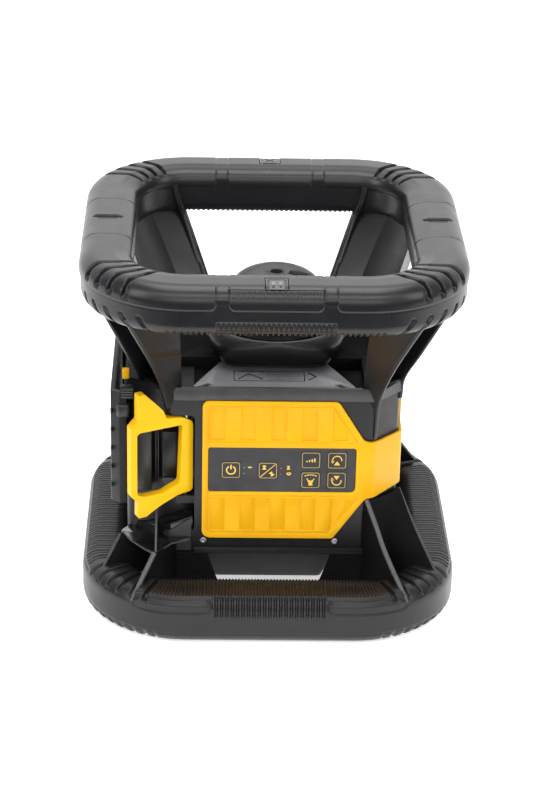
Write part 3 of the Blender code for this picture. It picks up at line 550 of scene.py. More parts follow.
def cage_tube(name, node, middle, relief, finish, per_side=620, around_count=156):
    """A cage ring: the tube swept round the cage, with its relief pushed in along the surface normal."""
    around, section = tube_section(around_count)
    path = cage_path(per_side)
    section_out, section_up, normal_out, normal_up = section.T
    fields = np.broadcast_arrays(path[:, 0:1], path[:, 1:2], around, middle + section_up, section_out)
    depth = relief(*fields)
    out = section_out + depth * normal_out
    up = section_up + depth * normal_up
    x = path[:, 2:3] + path[:, 4:5] * out
    y = path[:, 3:4] + path[:, 5:6] * out
    points = np.stack([x, y, middle + up], axis=2) * MM
    index = np.arange(depth.size).reshape(depth.shape)
    right = np.roll(index, -1, axis=1)
    quads = np.stack([index, np.roll(index, -1, axis=0), np.roll(right, -1, axis=0), right], axis=2)
    mesh = bpy.data.meshes.new(name)
    mesh.vertices.add(depth.size)
    mesh.vertices.foreach_set("co", points.astype(np.float32).ravel())
    mesh.loops.add(quads.size)
    mesh.loops.foreach_set("vertex_index", quads.astype(np.int32).ravel())
    mesh.polygons.add(depth.size)
    mesh.polygons.foreach_set("loop_start", np.arange(0, quads.size, 4, dtype=np.int32))
    mesh.update(calc_edges=True)
    mesh.validate()
    fix_normals(mesh)
    return piece(add_object(name, mesh), finish, node, angle=0)


def corner_angle(along, side):
    """Angle in degrees round each corner: 0 beside the left and right tubes, 90 beside front and rear."""
    bend = np.degrees(np.clip(np.abs(along) - STRAIGHT, 0.0, None) / BEND)
    return np.where(side % 2 == 0, 90 - bend, bend)


def arc_length(degrees):
    return degrees * BEND * pi / 180


def upper_relief(along, side, around, height, out):
    """Grip panels, bands, corner chevrons, lens notches, a ribbed pad and a serrated underside."""
    front_or_rear = side % 2 == 0
    sides = ~front_or_rear
    on_outer = out > 0
    reach = np.abs(along)
    above_foot = height - RING_LOW.z
    panel_edge = np.where(around > 0, 25.2, 23.2)
    half_mid = np.where(front_or_rear, 29, 31.6)
    start_corner = np.where(front_or_rear, 37.7, 32.4)
    mid_panel = soft_box(along, around, half_mid, panel_edge, 3.5)
    corner_panel = soft_box(reach - start_corner - 100, around, 100, panel_edge, 3.5)
    outside = np.minimum(mid_panel, corner_panel)
    deep = 1 - 0.75 * ramp(above_foot, 22.2, 29.2)
    depth = 3 * window(-around, 8, 18, 40, 48)
    depth -= 0.9 * ramp(outside, 0, 0.8) * deep
    depth -= 0.4 * line(outside - 0.4, 1)
    angle = corner_angle(along, side)
    slant = 1.4 - 6.0 * ramp(around, -9, 9)
    span = window(around, -17, -13.5, 20, 23.2)
    for index in range(4):
        middle = 45 + (index - 1.5) * 10.4 + slant
        depth -= 3.3 * line(angle - middle, 4.4) * span
    lens = soft_box(along, around + 0.5, 1.8, 9.2, 1.8)
    small = soft_box(along + 4.2 * np.where(side == 1, 1, -1), around + 0.5, 0.7, 5.8, 0.7)
    depth -= 3.6 * fall(lens, -0.2, 0.8) * sides
    depth -= 2.6 * fall(small, -0.3, 0.5) * sides
    sight = soft_box(along, around - 3, 7.4, 8.2, 0.6)
    depth -= 1.2 * fall(sight, -0.4, 0.2) * front_or_rear
    serrated = fall(above_foot, 3.5, 5.5) * fall(reach, 64, 66) * front_or_rear * (np.abs(out) > 5.5)
    depth -= 1.3 * ribs(along, 3.4) * serrated
    pad = soft_box(along, above_foot - 9.2, 37, 2.6, 0.6)
    pad_area = (side == 0) & on_outer
    depth -= 0.6 * line(pad, 0.9) * pad_area
    depth -= 1.3 * ribs(along, 3.1) * fall(pad, -0.9, -0.3) * pad_area
    rise = above_foot - 6.2
    for offset in (-22, -11, 0, 11, 22):
        slot = soft_box(arc_length(angle - 45 - offset) + 0.45 * rise, rise, 1.1, 6.6, 1.1)
        depth -= 2 * fall(slot, -0.6, 0.8) * on_outer
    return depth


def base_relief(along, side, around, height, out):
    """Transverse ribs over the tubes, smooth rails, grooved corners and a notched foot."""
    front_or_rear = side % 2 == 0
    sides = ~front_or_rear
    on_outer = out > 0
    reach = np.abs(along)
    shoulder = window(around, -33, -22, -11, -2)
    depth = 2.1 * shoulder * fall(reach, 58, 78) * front_or_rear
    ribbed_top = window(around, -33, -31, 8.5, 10) * fall(reach, 78, 82) * front_or_rear
    depth -= 0.8 * ribs(along, 2.1) * ribbed_top
    block_area = window(around, 9.5, 11, 24, 26) * fall(reach, 37, 38) * front_or_rear
    depth -= 1.9 * ribs(along, 3.5, 0.7) * block_area
    bar = soft_box(reach - 61, around - 17.2, 22.5, 4.2, 4)
    crown = fall(bar, -3.8, 0.0) * fall(around, 16.5, 20)
    depth += 0.9 * crown * front_or_rear * on_outer
    depth -= line(bar - 0.6, 1.4) * front_or_rear * on_outer
    depth -= 1.3 * ribs(along, 3.3, 0.35) * window(around, -24, -22.5, 13, 15) * fall(reach, 68, 71) * sides
    depth -= 0.6 * line(around - 16.5, 1.2) * fall(reach, 71, 74) * sides
    angle = corner_angle(along, side)
    span = window(around, -34, -31, 14, 18)
    for index in range(6):
        depth -= 2.4 * line(angle - 45 - (index - 2.5) * 8.6, 3.6) * span
    foot = fall(height, 5, 9)
    notch = ribs(arc_length(angle - 45), 6.8, 0.35)
    at_corner = fall(np.abs(angle - 45), 27, 30)
    depth -= 1.3 * notch * foot * at_corner * on_outer
    depth -= 0.4 * line(height - 8.5, 0.9) * on_outer
    return depth


def build_rings():
    cage_tube("grip_ring_looks", "upper_grip_ring", RING_MIDDLE, upper_relief, "cage_black")
    cage_tube("base_ring_looks", "base_ring", BASE_MIDDLE, base_relief, "base_black")
    build_sights()
    build_emblem()


def on_tube(sign, x, around, height):
    """A place on the front (sign -1) or rear tube of the grip ring, height above its surface."""
    distances, section = SECTION
    out, up, normal_out, normal_up = (np.interp(around, distances, section[:, k]) for k in range(4))
    middle = CAGE_HALF - TUBE_WIDTH / 2
    return (x, sign * (middle + out + height * normal_out),
            RING_MIDDLE + up + height * normal_up)


def tube_slabs(name, quads, low, high, sign, finish, steps=6):
    """Thin slabs that follow a tube. Each quad is (left, right, place round it) at its start and end."""
    verts, faces = [], []
    for quad in quads:
        start, end = np.array(quad, dtype=float)
        base, last = len(verts), len(verts) + 4 * steps
        for step in range(steps + 1):
            left, right, around = start + (end - start) * (step / steps)
            verts += [on_tube(sign, x, around, height)
                      for x, height in ((left, low), (right, low), (right, high), (left, high))]
        for here in range(base, last, 4):
            faces += [(here + k, here + (k + 1) % 4, here + 4 + (k + 1) % 4, here + 4 + k) for k in range(4)]
        faces += [(base + 3, base + 2, base + 1, base), (last, last + 1, last + 2, last + 3)]
    obj = mesh_object(name, verts, faces)
    fix_normals(obj.data)
    return piece(soften(obj, 0.2, 2), finish)


def slabs_at(places, half, start, end):
    """Straight slabs of one width for tube_slabs, one at each place across."""
    return [((x - half, x + half, start), (x - half, x + half, end)) for x in places]


def build_sights():
    """The sighting marks on top of the front and rear tubes: a bracketed pad with two pins or a cross."""
    for label, sign in (("front", -1), ("rear", 1)):
        tube_slabs(f"sight_pad_{label}", slabs_at([0], 4.8, -2, 10), -1.4, -0.4, sign, "strip_grey")
        brackets = slabs_at((-6.4, 6.4), 0.5, -4, 10)
        tube_slabs(f"sight_brackets_{label}", brackets, -1.4, -0.1, sign, "gloss_black")
    tube_slabs("sight_pins", slabs_at((-2.3, 2.3), 1.1, 1, 6), -0.6, 0, -1, "pin_grey")
    tube_slabs("sight_dots", slabs_at((-2.3, 2.3), 0.7, 6.8, 8.6), -0.6, -0.1, -1, "gloss_black")
    bars = [((-3.6, -2.6, 0), (2.6, 3.6, 5)), ((2.6, 3.6, 0), (-3.6, -2.6, 5))]
    tube_slabs("sight_cross", bars, -0.6, -0.1, 1, "gloss_black")


def build_emblem():
    """A plain hatched plate in a thin frame on the front tube."""
    low, high, side = 11.2, 18.2, 30
    middles = [(index - 7) * 3.8 for index in range(15)]
    hatch = [((x - 0.6, x + 1.2, high - 1.2), (x + 0.4, x + 2.2, low + 1)) for x in middles]
    tube_slabs("front_hatch", hatch, -0.3, 0.6, -1, "cage_black")
    edges = [*slabs_at([0], side, high, high + 0.5), *slabs_at([0], side, low - 0.5, low),
             *slabs_at((-side - 0.25, side + 0.25), 0.25, low - 0.5, high + 0.5)]
    tube_slabs("hatch_frame", edges, -0.3, 0.4, -1, "cage_black")


# ---------------------------------------------------------------- pillars
UPPER_FRONT = (
    ((68, 66.5, 144), (71.2, 73.5, 162), (78.2, 88, 187), (93.5, 110.5, 226.5)),
    ((60.5, 64, 144), (60.5, 67.2, 162), (61.2, 80.8, 187), (62.2, 101, 226.5)),
    ((64, 55, 146), (64.5, 56, 162), (70, 70, 187), (84, 84, 226.5)),
    ((77, 43, 146), (78, 44, 162), (86, 56, 187), (101, 67, 226.5)),
    ((85, 50, 146), (86.5, 53, 162), (95, 70, 187), (110, 91, 226.5)),
)
UPPER_REAR = (
    ((60, 68, 150), (64, 72, 164), (76, 88, 187), (93.5, 110.5, 226.5)),
    ((35, 48, 150), (38, 54, 164), (47.2, 70, 187), (64, 100, 226.5)),
    ((55, 50, 150), (57, 54.5, 164), (66, 66, 187), (84, 84, 226.5)),
    ((76, 32, 150), (78.5, 35, 164), (86, 48, 187), (101, 67, 226.5)),
    ((85, 50, 150), (86.8, 53.5, 164), (95, 70, 187), (110, 91, 226.5)),
)
LOWER_FRONT = (
    ((64, 69, 79), (70, 80, 66), (76.5, 92, 51), (90.5, 113, 26)),
    ((64, 69, 79), (63.4, 70.5, 64), (63.4, 70.5, 45), (63.6, 71.5, 18)),
    ((77, 60, 79), (79, 61, 64), (80.5, 61.8, 45), (81.5, 64, 22)),
    ((86.5, 50, 79), (93, 58, 65), (101, 69, 50), (115, 88, 26)),
)
LOWER_REAR = (
    ((64, 70, 79), (63.4, 70.5, 64), (63.4, 70.5, 45), (63.6, 71.5, 18)),
    ((64.5, 71, 79), (70, 80, 65), (77, 93, 50), (90.5, 112, 26)),
    ((77, 61, 79), (78, 64, 65), (79.5, 69, 50), (82, 83, 26)),
    ((87, 50, 79), (92, 58, 65), (100, 69, 50), (113, 88, 26)),
)
LOWER_SHORT = (
    ((76, 91, 50), (90.5, 113, 26)),
    ((63.4, 70.5, 50), (63.6, 71.5, 18)),
    ((80, 61.6, 50), (81.5, 64, 22)),
    ((99, 65, 50), (115, 88, 26)),
)
FOLD_BAR_TOP = ((59, 88.5, 217), (63, 88.5, 229), (66, 89, 241))
# the housing's front right corner, along which a grey rod paints the fillet's highlight
CORNER_EDGE = ((71, -72.8, 159), (69.2, -69, 146), (68.2, -68.2, 124))
FOOT_WEB = ((33.8, 17), (65, 8), (65, 39.5), (41.5, 39.5))


def folded(rails, thickness, steps=20):
    """A folded plate along smooth rails, for the +X, +Y corner."""
    paths = [smooth_path(rail, steps) for rail in rails]
    count = len(rails)
    verts, faces = [], []
    for step in range(steps + 1):
        middle = [path[step] for path in paths]
        left, right = [], []
        for index, point in enumerate(middle):
            before = (point - middle[index - 1]).xy.normalized() if index else None
            after = (middle[index + 1] - point).xy.normalized() if index < count - 1 else None
            along = ((before or after) + (after or before)).normalized()
            normal = Vector((-along.y, along.x, 0.0))
            single = after or before
            square = abs(normal.dot(Vector((-single.y, single.x, 0.0))))
            reach = thickness / 2 / max(square, 0.6)
            left.append(point + normal * reach)
            right.append(point - normal * reach)
        verts += left + right[::-1]
    ring = 2 * count
    for base in range(0, steps * ring, ring):
        for index in range(ring):
            after = (index + 1) % ring
            faces.append((base + index, base + after, base + ring + after, base + ring + index))
    for base in (0, steps * ring):
        for index in range(count - 1):
            other = base + ring - 1 - index
            faces.append((base + index, base + index + 1, other - 1, other))
    return verts, faces, paths


def mirrored(points, side_x, side_y):
    return [(p[0] * side_x, p[1] * side_y, p[2]) for p in points]


def build_pillars():
    corners = (("front_left", -1, -1), ("front_right", 1, -1), ("rear_left", -1, 1), ("rear_right", 1, 1))
    for corner, side_x, side_y in corners:
        front = side_y < 0

        def rod_along(name, path, radius, finish):
            piece(tube(f"{name}_{corner}", mirrored(path, side_x, side_y), radius), finish)

        def folded_plate(level, rails, thickness, bevel, finish):
            verts, faces, paths = folded(rails, thickness)
            obj = mesh_object(f"{level}_{corner}_plate", mirrored(verts, side_x, side_y), faces)
            soft_piece(obj, (bevel, 2, 40), finish, f"{level}_pillar_{corner}")
            return paths

        paths = folded_plate("upper", UPPER_FRONT if front else UPPER_REAR, 3, 0.7, "housing_black")
        piece(tube(f"upper_rim_{corner}_0", mirrored(paths[0], side_x, side_y), 1.7), "housing_black")
        piece(tube(f"upper_rim_{corner}_4", mirrored(paths[4], side_x, side_y), 1.3), "housing_black")
        if not front:
            build_fold_bars(paths, rod_along)
        build_gusset(corner, paths, side_x, side_y)
        lower = LOWER_SHORT if corner == "front_left" else LOWER_FRONT if front else LOWER_REAR
        # the lower plates take the darker black that paints the shade inside the lower pillars
        paths = folded_plate("lower", lower, 2.6, 0.5, "painted_shade_black")
        # the grey strip and edge rods paint highlights along the lit edges of the lower plates
        rod_along("lower_strip", paths[0 if front else 1], 1.6, "strip_grey")
        rod_along("lower_edge", paths[3], 1.1, "housing_grey")
        # the foot web is a dark plate in the black that paints shade
        web = plate(f"foot_web_{corner}", [[(x * side_x, z) for x, z in FOOT_WEB]], 68.6, 70.6,
                    Matrix.Scale(-side_y, 4, (0.0, 1.0, 0.0)) @ standing())
        piece(soften(web, 0.4, 2), "painted_shade_black")
    # a grey rod that paints the highlight on the housing's front right corner fillet
    piece(tube("corner_edge", smooth_path(CORNER_EDGE, 10), 1), "housing_grey")


def build_fold_bars(paths, rod_along):
    """The stiffening bar and the crease inside a rear pillar's fold."""
    fold, web = paths[1], paths[2]
    rod_along("fold_bar", [point + (point - web[k]).normalized() for k, point in enumerate(fold)], 2.4,
              "housing_black")
    crease = [point + (fold[k] - point).normalized() * 2 for k, point in enumerate(web)]
    rod_along("fold_crease", crease[4:], 1, "housing_grey")
    rod_along("fold_bar_top", smooth_path([fold[14], *FOLD_BAR_TOP], 12), 2.2, "housing_black")


def build_gusset(corner, paths, side_x, side_y):
    """The small web across an upper pillar's foot."""
    gusset = [paths[0][5], paths[2][4], paths[4][5]]
    verts = [*gusset, *[p + Vector((0, 0, 2.4)) for p in gusset]]
    faces = [(0, 2, 1), (3, 4, 5), (0, 1, 4, 3), (1, 2, 5, 4), (2, 0, 3, 5)]
    obj = mesh_object(f"foot_gusset_{corner}", mirrored(verts, side_x, side_y), faces)
    fix_normals(obj.data)
    piece(soften(obj, 0.4, 2), "housing_black")


# ---------------------------------------------------------------- housing
BODY_ROUNDS = (6, 6, 6, 6, 6, 1, 1, 6)
NOTCH_RIGHT, NOTCH_BACK, NOTCH_TOP = -50, -52, 139.5
WALL = 2.6


def body_outline(inset=0.0):
    """The housing's plan, with chamfered corners, moved inwards by inset."""
    left, right = BODY_LEFT + inset, BODY_RIGHT - inset
    front, rear = BODY_FRONT + inset, -BODY_FRONT - inset
    chamfer, deep, small = 17.5 - inset * 0.6, 29 - inset * 0.4, 3 - inset * 0.6
    return [(left + deep, front), (right - chamfer, front), (right, front + chamfer), (right, rear - chamfer),
            (right - chamfer, rear), (left + small, rear), (left, rear - small), (left, front + chamfer)]


def body_plan(inset=0.0):
    return rounded(body_outline(inset), BODY_ROUNDS)


def shell_band(name):
    inner = rounded(body_outline(WALL), [max(r - WALL, 0.6) for r in BODY_ROUNDS])
    return plate(name, [body_plan(), inner], BODY_LOW.z, BODY_HIGH.z + 0.5)


def finish_shell(shell, node, cut_from, cut_to):
    """Cuts a shell off at the joint between the halves and at the battery door."""
    other_half = block("other_half", (-FAR, cut_from, -FAR), (FAR, cut_to, FAR))
    door_hole = block("door_hole", (BODY_LEFT - 10, -48, 73.5), (BODY_LEFT + 3.5, 62, 150))
    soft_piece(cut(shell, other_half, door_hole), (0.6, 2, 40), "housing_black", node)


def build_front_shell():
    fill = block("notch_fill", (BODY_LEFT + 1, BODY_FRONT + 1, BODY_LOW.z),
                 (NOTCH_RIGHT + WALL, NOTCH_BACK + WALL, NOTCH_TOP + WALL))
    fill = keep_inside(fill, plate("notch_limit", [body_plan()], 0, FAR))
    shell = join(shell_band("front_shell"), fill)
    shell = cut(shell, block("notch", (-120, -90, 54.5), (NOTCH_RIGHT, NOTCH_BACK, NOTCH_TOP), 3))
    shell = join(shell, block("latch_lug", (-62, -67.8, 75), (NOTCH_RIGHT + 1, NOTCH_BACK + 1, 80.5)))
    window = block("keypad_window", (-38, -75, 86.6), (53, -60, 116.4))
    shell = cut(shell, upright_rod("pin_hole", *LATCH_PIN, 76, 141.2, 1.8, 24), window)
    finish_shell(shell, "front_housing", -GAP / 2, FAR)


def build_rear_shell():
    shell = cut(shell_band("rear_shell"), rod("side_thread_hole", (0, 50, 90), (0, 90, 90), 12.3))
    lugs = []
    for low, high in ((78.2, 84.6), (149.4, 155.8)):
        lugs.append(upright_rod("hinge_lug", *HINGE_PIN, low, high, 3.6, 32))
        lugs.append(block("hinge_arm", (HINGE_PIN[0], 65, low), (-88, 67.5, high)))
    shell = cut(join(shell, *lugs), upright_rod("hinge_bore", *HINGE_PIN, 78.7, 155.3, 1.8, 24))
    finish_shell(shell, "rear_housing", -FAR, GAP / 2)


def build_housing():
    build_front_shell()
    build_rear_shell()
    build_deck()
    build_fascia()
    build_shelf()
    build_tub()
    build_notch_details()


def build_deck():
    """The deck: a raised trapezoid before and behind the head, pale grey for painted light on its top, over a
    black floor with sunk pockets.
    """
    high = DECK_HIGH.z
    deck = plate("deck_floor", [body_plan(0.2), circle(32, HEAD_X)], high - 12.5, high - 1.2)
    outline = [(33, 18), (34, 28), (53, 66.5), (60.5, 66.5), (60.5, 18)]
    pockets = [plate("pocket", [[(x * side_x, y * side_y) for x, y in outline]], high - 10, high + 10)
               for side_x in (-1, 1) for side_y in (-1, 1)]
    # the floor and its pockets take the darker black that paints the shade in the pockets
    soft_piece(cut(deck, *pockets), (0.6, 2, 40), "painted_shade_black", "top_deck")
    for label, side in (("front", -1), ("rear", 1)):
        loop = rounded([(-52, -67.7), (54.8, -67.7), (36, -27.5), (-33.5, -27.5)], 1.5)
        if side > 0:
            loop = [(x, -y) for x, y in reversed(loop)]
        plateau = plate(f"deck_plateau_{label}", [loop], high - 6, high)
        notches = []
        for x, lean in ((-42, 1), (44.5, -1)):
            notch = [(x, 61.5), (x + 4.2 * lean, 64), (x - 6 * lean, 70.5), (x - 9 * lean, 69)]
            notch = [(px, side * py) for px, py in notch]
            notches.append(plate("plateau_notch", [notch], high - 1.6, high + 1))
        plateau = cut(plateau, upright_rod("plateau_hole", HEAD_X, 0, 100, FAR, 32), *notches)
        # the plateau's pale grey is painted light on its top
        soft_piece(plateau, (0.8, 3, 40), "deck_painted_highlight_grey")
    build_pictogram(high)


def build_pictogram(high):
    """A plain engraved strip on the deck: a frame, a folding-stand mark and an arrow."""
    loops = [oblong(-25, -58, 21.5, -43), oblong(-24.5, -57.5, 21, -43.5)]
    piece(plate("pictogram_frame", loops, high - 0.3, high + 0.15), "gloss_black")
    strokes = [((-22, -55), (-15, -47)), ((-15, -47), (-6, -55)), ((-21.5, -45.5), (-8.5, -45.5)),
               ((-17, -50), (-12, -50)), ((24, -56), (29, -50.5)), ((29, -50.5), (24.5, -45))]
    for index, (start, end) in enumerate(strokes):
        piece(tube(f"pictogram_stroke_{index}", [(*start, high), (*end, high)], 0.45, 2), "gloss_black")
    for index in range(5):
        ends = [(x, -55.5 + index * 2.6, high - 0.1) for x in (-3, 19)]
        piece(tube(f"pictogram_rule_{index}", ends, 0.28, 2), "housing_black")


def build_fascia():
    """The grey band between the front cover and the deck, flowing into the corner fillets."""
    band = plate("fascia_band", [body_plan(-1.6), body_plan(0.6)], COVER_HIGH.z + 0.2, DECK_HIGH.z + 0.1)
    band = keep_inside(band, block("fascia_keep", (-64, -100, 0), (FAR, -46, FAR)))
    soft_piece(band, (0.9, 3, 40), "housing_grey")


def build_shelf():
    """The lip along the bottom of the front and the sides."""
    lip = plate("bottom_lip", [body_plan(-3), body_plan(0.4)], BODY_LOW.z, BODY_LOW.z + 4.2)
    lip = cut(lip, block("lip_door", (-FAR, -FAR, 0), (NOTCH_RIGHT, FAR, FAR)))
    soft_piece(lip, (1.2, 3, 40), "door_black")


def build_tub():
    """The tub under the housing and its tapering boss."""
    top = TUB_HIGH.z
    rows = []
    for share in (0.0, 0.12, 1.0):
        corners = rounded(rectangle(0, 0, 36.5 + 11 * share, 42 + 18 * share), 3 + 2 * share, 5)
        rows.append([(x, y, TUB_LOW.z + (top - 2 - TUB_LOW.z) * share) for x, y in corners])
    count = len(rows[0])
    faces = [tuple(range(count - 1, -1, -1)), tuple(range(2 * count, 3 * count))]
    for base in (0, count):
        for k in range(count):
            after = base + (k + 1) % count
            faces.append((base + k, after, after + count, base + count + k))
    boss = mesh_object("tub_boss", [v for row in rows for v in row], faces)
    soft_piece(cut(boss, upright_rod("tripod_bore", 0, 0, 0, 24, 12.3)), (1, 3, 40), "door_black")
    tub = plate("tub_plate", [rounded(body_outline(4), 4)], top - 4, top)
    soft_piece(tub, (0.8, 2), "door_black", "bottom_housing")


NOTCH_BLOCKS = (
    ("notch_panel", (-71.8, -57.5, 87.5), (-58.5, -51.6, 122.5), 1, "housing_black"),
    ("notch_panel_sill", (-71.4, -59, 87.5), (-62.2, -57, 88.7), 0.4, "strip_grey"),
    ("notch_rib_0", (-74.6, -56, 87), (-73.8, -51.5, 125), 0.3, "housing_grey"),
    ("notch_rib_1", (-76.2, -56, 87), (-75.4, -51.5, 125), 0.3, "housing_grey"),
    ("notch_side_panel", (-88, -60, 80), (-78.5, -51.6, 125), 1.2, "housing_grey"),
)


def build_notch_details():
    """What shows in the recess behind the latch: a stepped panel, ribs and a curved lip below."""
    for name, low, high, bevel, finish in NOTCH_BLOCKS:
        piece(block(name, low, high, bevel), finish)
    floor = [(-88, 50), (-51, 50), (-51, 65), (-74, 56), (-88, 54)]
    floor = plate("notch_floor", [floor], 50, 67.2, standing())
    floor = keep_inside(floor, plate("floor_limit", [body_plan(0.6)], 40, 70))
    soft_piece(floor, (1, 3), "gloss_black")
    fin = plate("notch_foot_fin", [[(-90.5, 50.5), (-56, 50.5), (-60, 72)]], -75.8, -74.4, facing_right())
    piece(soften(fin, 0.4, 2), "strip_grey")
    front_edge = smooth_path([(-99, -60, 0), (-94, -70.5, 0), (-87.2, -79.2, 0), (-81.5, -86.2, 0),
                              (-75.5, -91.5, 0)], 16)
    plan = [(p.x, p.y) for p in front_edge]
    plan += [(-73, -88), (-65, -76.5), (-52, -70.5), (-52, -56), (-93, -50)]
    soft_piece(plate("notch_ledge", [plan], 47.8, 50.5), (0.8, 3, 50), "gloss_black")
    facet = [(-74.5, 40), (-52, 40), (-52, 64), (-64, 56), (-74.5, 52)]
    facet = plate("notch_facet", [facet], 66, 69, standing())
    facet = keep_inside(facet, plate("facet_limit", [body_plan(-0.8)], 30, 70))
    piece(soften(facet, 0.5, 2), "housing_grey")


# ---------------------------------------------------------------- covers
def cover_silhouette(reach):
    """The cover seen from the front: its sides step in to a band that wraps the corner."""
    left, bottom, top = COVER_LOW.x, COVER_LOW.z, COVER_HIGH.z
    corners = [(left, bottom), (42, bottom), (63, 81), (100, 86), (100, 122), (61.5, 122), (43.5, top),
               (left, top)]
    rounds = (5.5, 3.5, 6, 0.5, 0.5, 6, 4.5, 4.5)
    return plate("silhouette", [rounded(corners, rounds)], -reach, reach, standing())


def clip(loop, x0, z0, x1, z1):
    """Keeps the part of a flat outline that lies left of the line through two points."""
    def beside(point):
        return (x1 - x0) * (point[1] - z0) - (z1 - z0) * (point[0] - x0)

    kept = []
    for index, here in enumerate(loop):
        before = loop[index - 1]
        near, far = beside(here), beside(before)
        if near * far < 0:
            share = far / (far - near)
            kept.append(tuple(b + (h - b) * share for b, h in zip(before, here)))
        if near >= 0:
            kept.append(here)
    return kept


def stripe_loops():
    """The covers' sunk stripes: two fields, the outer ends of which follow the covers' slanting sides."""
    loops = []
    fields = ((123.2, 146.2, (55.5, 123.2, 40, 147)), (56.6, 80.8, (38.5, 54.5, 57.5, 81.2)))
    for low, high, limit in fields:
        for x in range(-40, 80, 20):
            loop = clip(oblong(x, low, x + 10, high), *limit)
            if len(loop) > 2 and max(p[0] for p in loop) - min(p[0] for p in loop) > 3:
                loops.append(loop)
    return loops


def field_rims():
    """Thin grooves round the two striped fields."""
    loops = []
    for corners in (((-41.5, 121.8), (57.5, 121.8), (40.8, 147.6), (-41.5, 147.6)),
                    ((-41.5, 55), (39.5, 55), (59, 82.2), (-41.5, 82.2))):
        middle = Vector((sum(c[0] for c in corners) / 4, sum(c[1] for c in corners) / 4))
        smaller = [tuple(Vector(c) + (middle - Vector(c)).normalized() * 0.8) for c in corners]
        loops += [rounded(corners, 1.2, 3), rounded(smaller, 1, 3)]
    return loops


def build_cover(name, node, rear):
    """A cover that follows the housing's front or rear and wraps the right corner."""
    front = BODY_FRONT - GAP - COVER_THICKNESS
    band = plate(name, [body_plan(-GAP - COVER_THICKNESS), body_plan(-GAP)], 40, 156)
    band = keep_inside(band, block("cover_keep", (-48, -100, 0), (FAR, -18, FAR)))
    band = keep_inside(band, cover_silhouette(150))
    band = cut(band, plate("stripes", stripe_loops(), -front - 0.7, -front + 4, standing()),
               plate("stripe_rims", field_rims(), -front - 0.4, -front + 4, standing()))
    if rear:
        band = cut(band, rod("thread_clearance", (0, -100, 90), (0, -60, 90), 13.5))
        band.data.transform(Matrix.Scale(-1, 4, (0.0, 1.0, 0.0)))
        band.data.flip_normals()
    else:
        recess = rounded(oblong(-41.2, 85.2, 56.2, 117.8), (1.6, 3.4, 2, 1.6))
        band = cut(band, plate("keypad_recess", [recess], 60, 80, standing()))
    soft_piece(band, (0.35, 2, 35), "yellow", node)


def build_covers():
    build_cover("front_cover_looks", "front_cover", False)
    build_cover("rear_cover_looks", "rear_cover", True)
    low, high = box("right_side_panel")
    panel = plate("side_panel_looks", [rounded(oblong(low.y, low.z, high.y, high.z), 3)], low.x, high.x,
                  facing_right())
    soft_piece(panel, (1.2, 3), "yellow", "right_side_panel")
    for node in ("front_screw_left", "front_screw_right"):
        low, high = box(node)
        x, z = (low.x + high.x) / 2, (low.z + high.z) / 2
        head = rod(f"{node}_head", (x, high.y, z), (x, low.y, z), 2.2, 32)
        head = cut(head, rod("socket", (x, low.y + 0.9, z), (x, low.y - 1, z), 1.1, 6))
        soft_piece(head, (0.3, 2), "steel", node)


# ---------------------------------------------------------------- keypad
KEYS = ("power_button", "slope_button", "speed_button", "turn_right_button", "scan_button",
        "turn_left_button")
LENSES = (("power_indicator", "teal_lens", -17.5, (103.1, 98.7)),
          ("slope_indicator", "red_lens", 6.8, (102.7, 98.6)))


def arc(radius, width, start, end, x=0.0, y=0.0, steps=20):
    """A curved stroke, as a closed outline."""
    turns = [radians(start + (end - start) * step / steps) for step in range(steps + 1)]
    outer, inner = radius + width / 2, radius - width / 2
    return [*[(x + outer * cos(turn), y + outer * sin(turn)) for turn in turns],
            *[(x + inner * cos(turn), y + inner * sin(turn)) for turn in reversed(turns)]]


def stroke(x0, y0, x1, y1, width):
    start, end = Vector((x0, y0)), Vector((x1, y1))
    along = (end - start).normalized() * width / 2
    across = Vector((-along.y, along.x))
    return [tuple(start + across), tuple(start - across), tuple(end - across), tuple(end + across)]


def instrument(x, y, size, turn):
    """A small generic instrument on its stand."""
    shape = [(-1, -1), (1, -1), (0.35, 0), (0.35, 0.35), (0.75, 0.35), (0.75, 1), (-0.75, 1), (-0.75, 0.35),
             (-0.35, 0.35), (-0.35, 0)]
    spin = Matrix.Rotation(radians(turn), 2)
    return [tuple(Vector((x, y)) + spin @ Vector((px * size, py * size))) for px, py in shape]


def icon_loops(name):
    """Each key's mark, round the key's middle."""
    if name == "power_button":
        return [arc(2.9, 0.85, 118, 422), stroke(0, 0.6, 0, 3.9, 0.85)]
    if name == "slope_button":
        return [stroke(-5, -4.7, 5, 4.7, 0.5), instrument(-2.4, 2.3, 1.5, 0), instrument(2.5, -2.4, 1.5, 35)]
    if name == "speed_button":
        bars = ((-2.6, -0.3), (-0.9, 0.3), (0.8, 0.9), (2.5, 1.5))
        return [stroke(x, -1.2, x, top, 0.9) for x, top in bars]
    if name == "turn_right_button":
        return [arc(3, 0.7, -10, 205, 0, 0.3), [(-2, -3.4), (2, -3.4), (0, -0.4)],
                [(-4.1, -0.2), (-1.7, -0.4), (-3.1, -2.2)]]
    if name == "turn_left_button":
        return [arc(3, 0.7, 155, 370, 0, -0.3), [(-2, 3.4), (0, 0.4), (2, 3.4)],
                [(-4.1, 0.2), (-3.1, 2.2), (-1.7, 0.4)]]
    dashes = [arc(9, 0.7, 90 + shift - 4, 90 + shift + 4, 0, -5) for shift in (-22, -11, 0, 11, 22)]
    return [*dashes, arc(2.6, 0.6, 200, 340, 0, 2.1), [(-2, -0.6), (2, -0.6), (1.2, -1.8), (-1.2, -1.8)],
            rectangle(0, -2.9, 1.3, 0.9)]


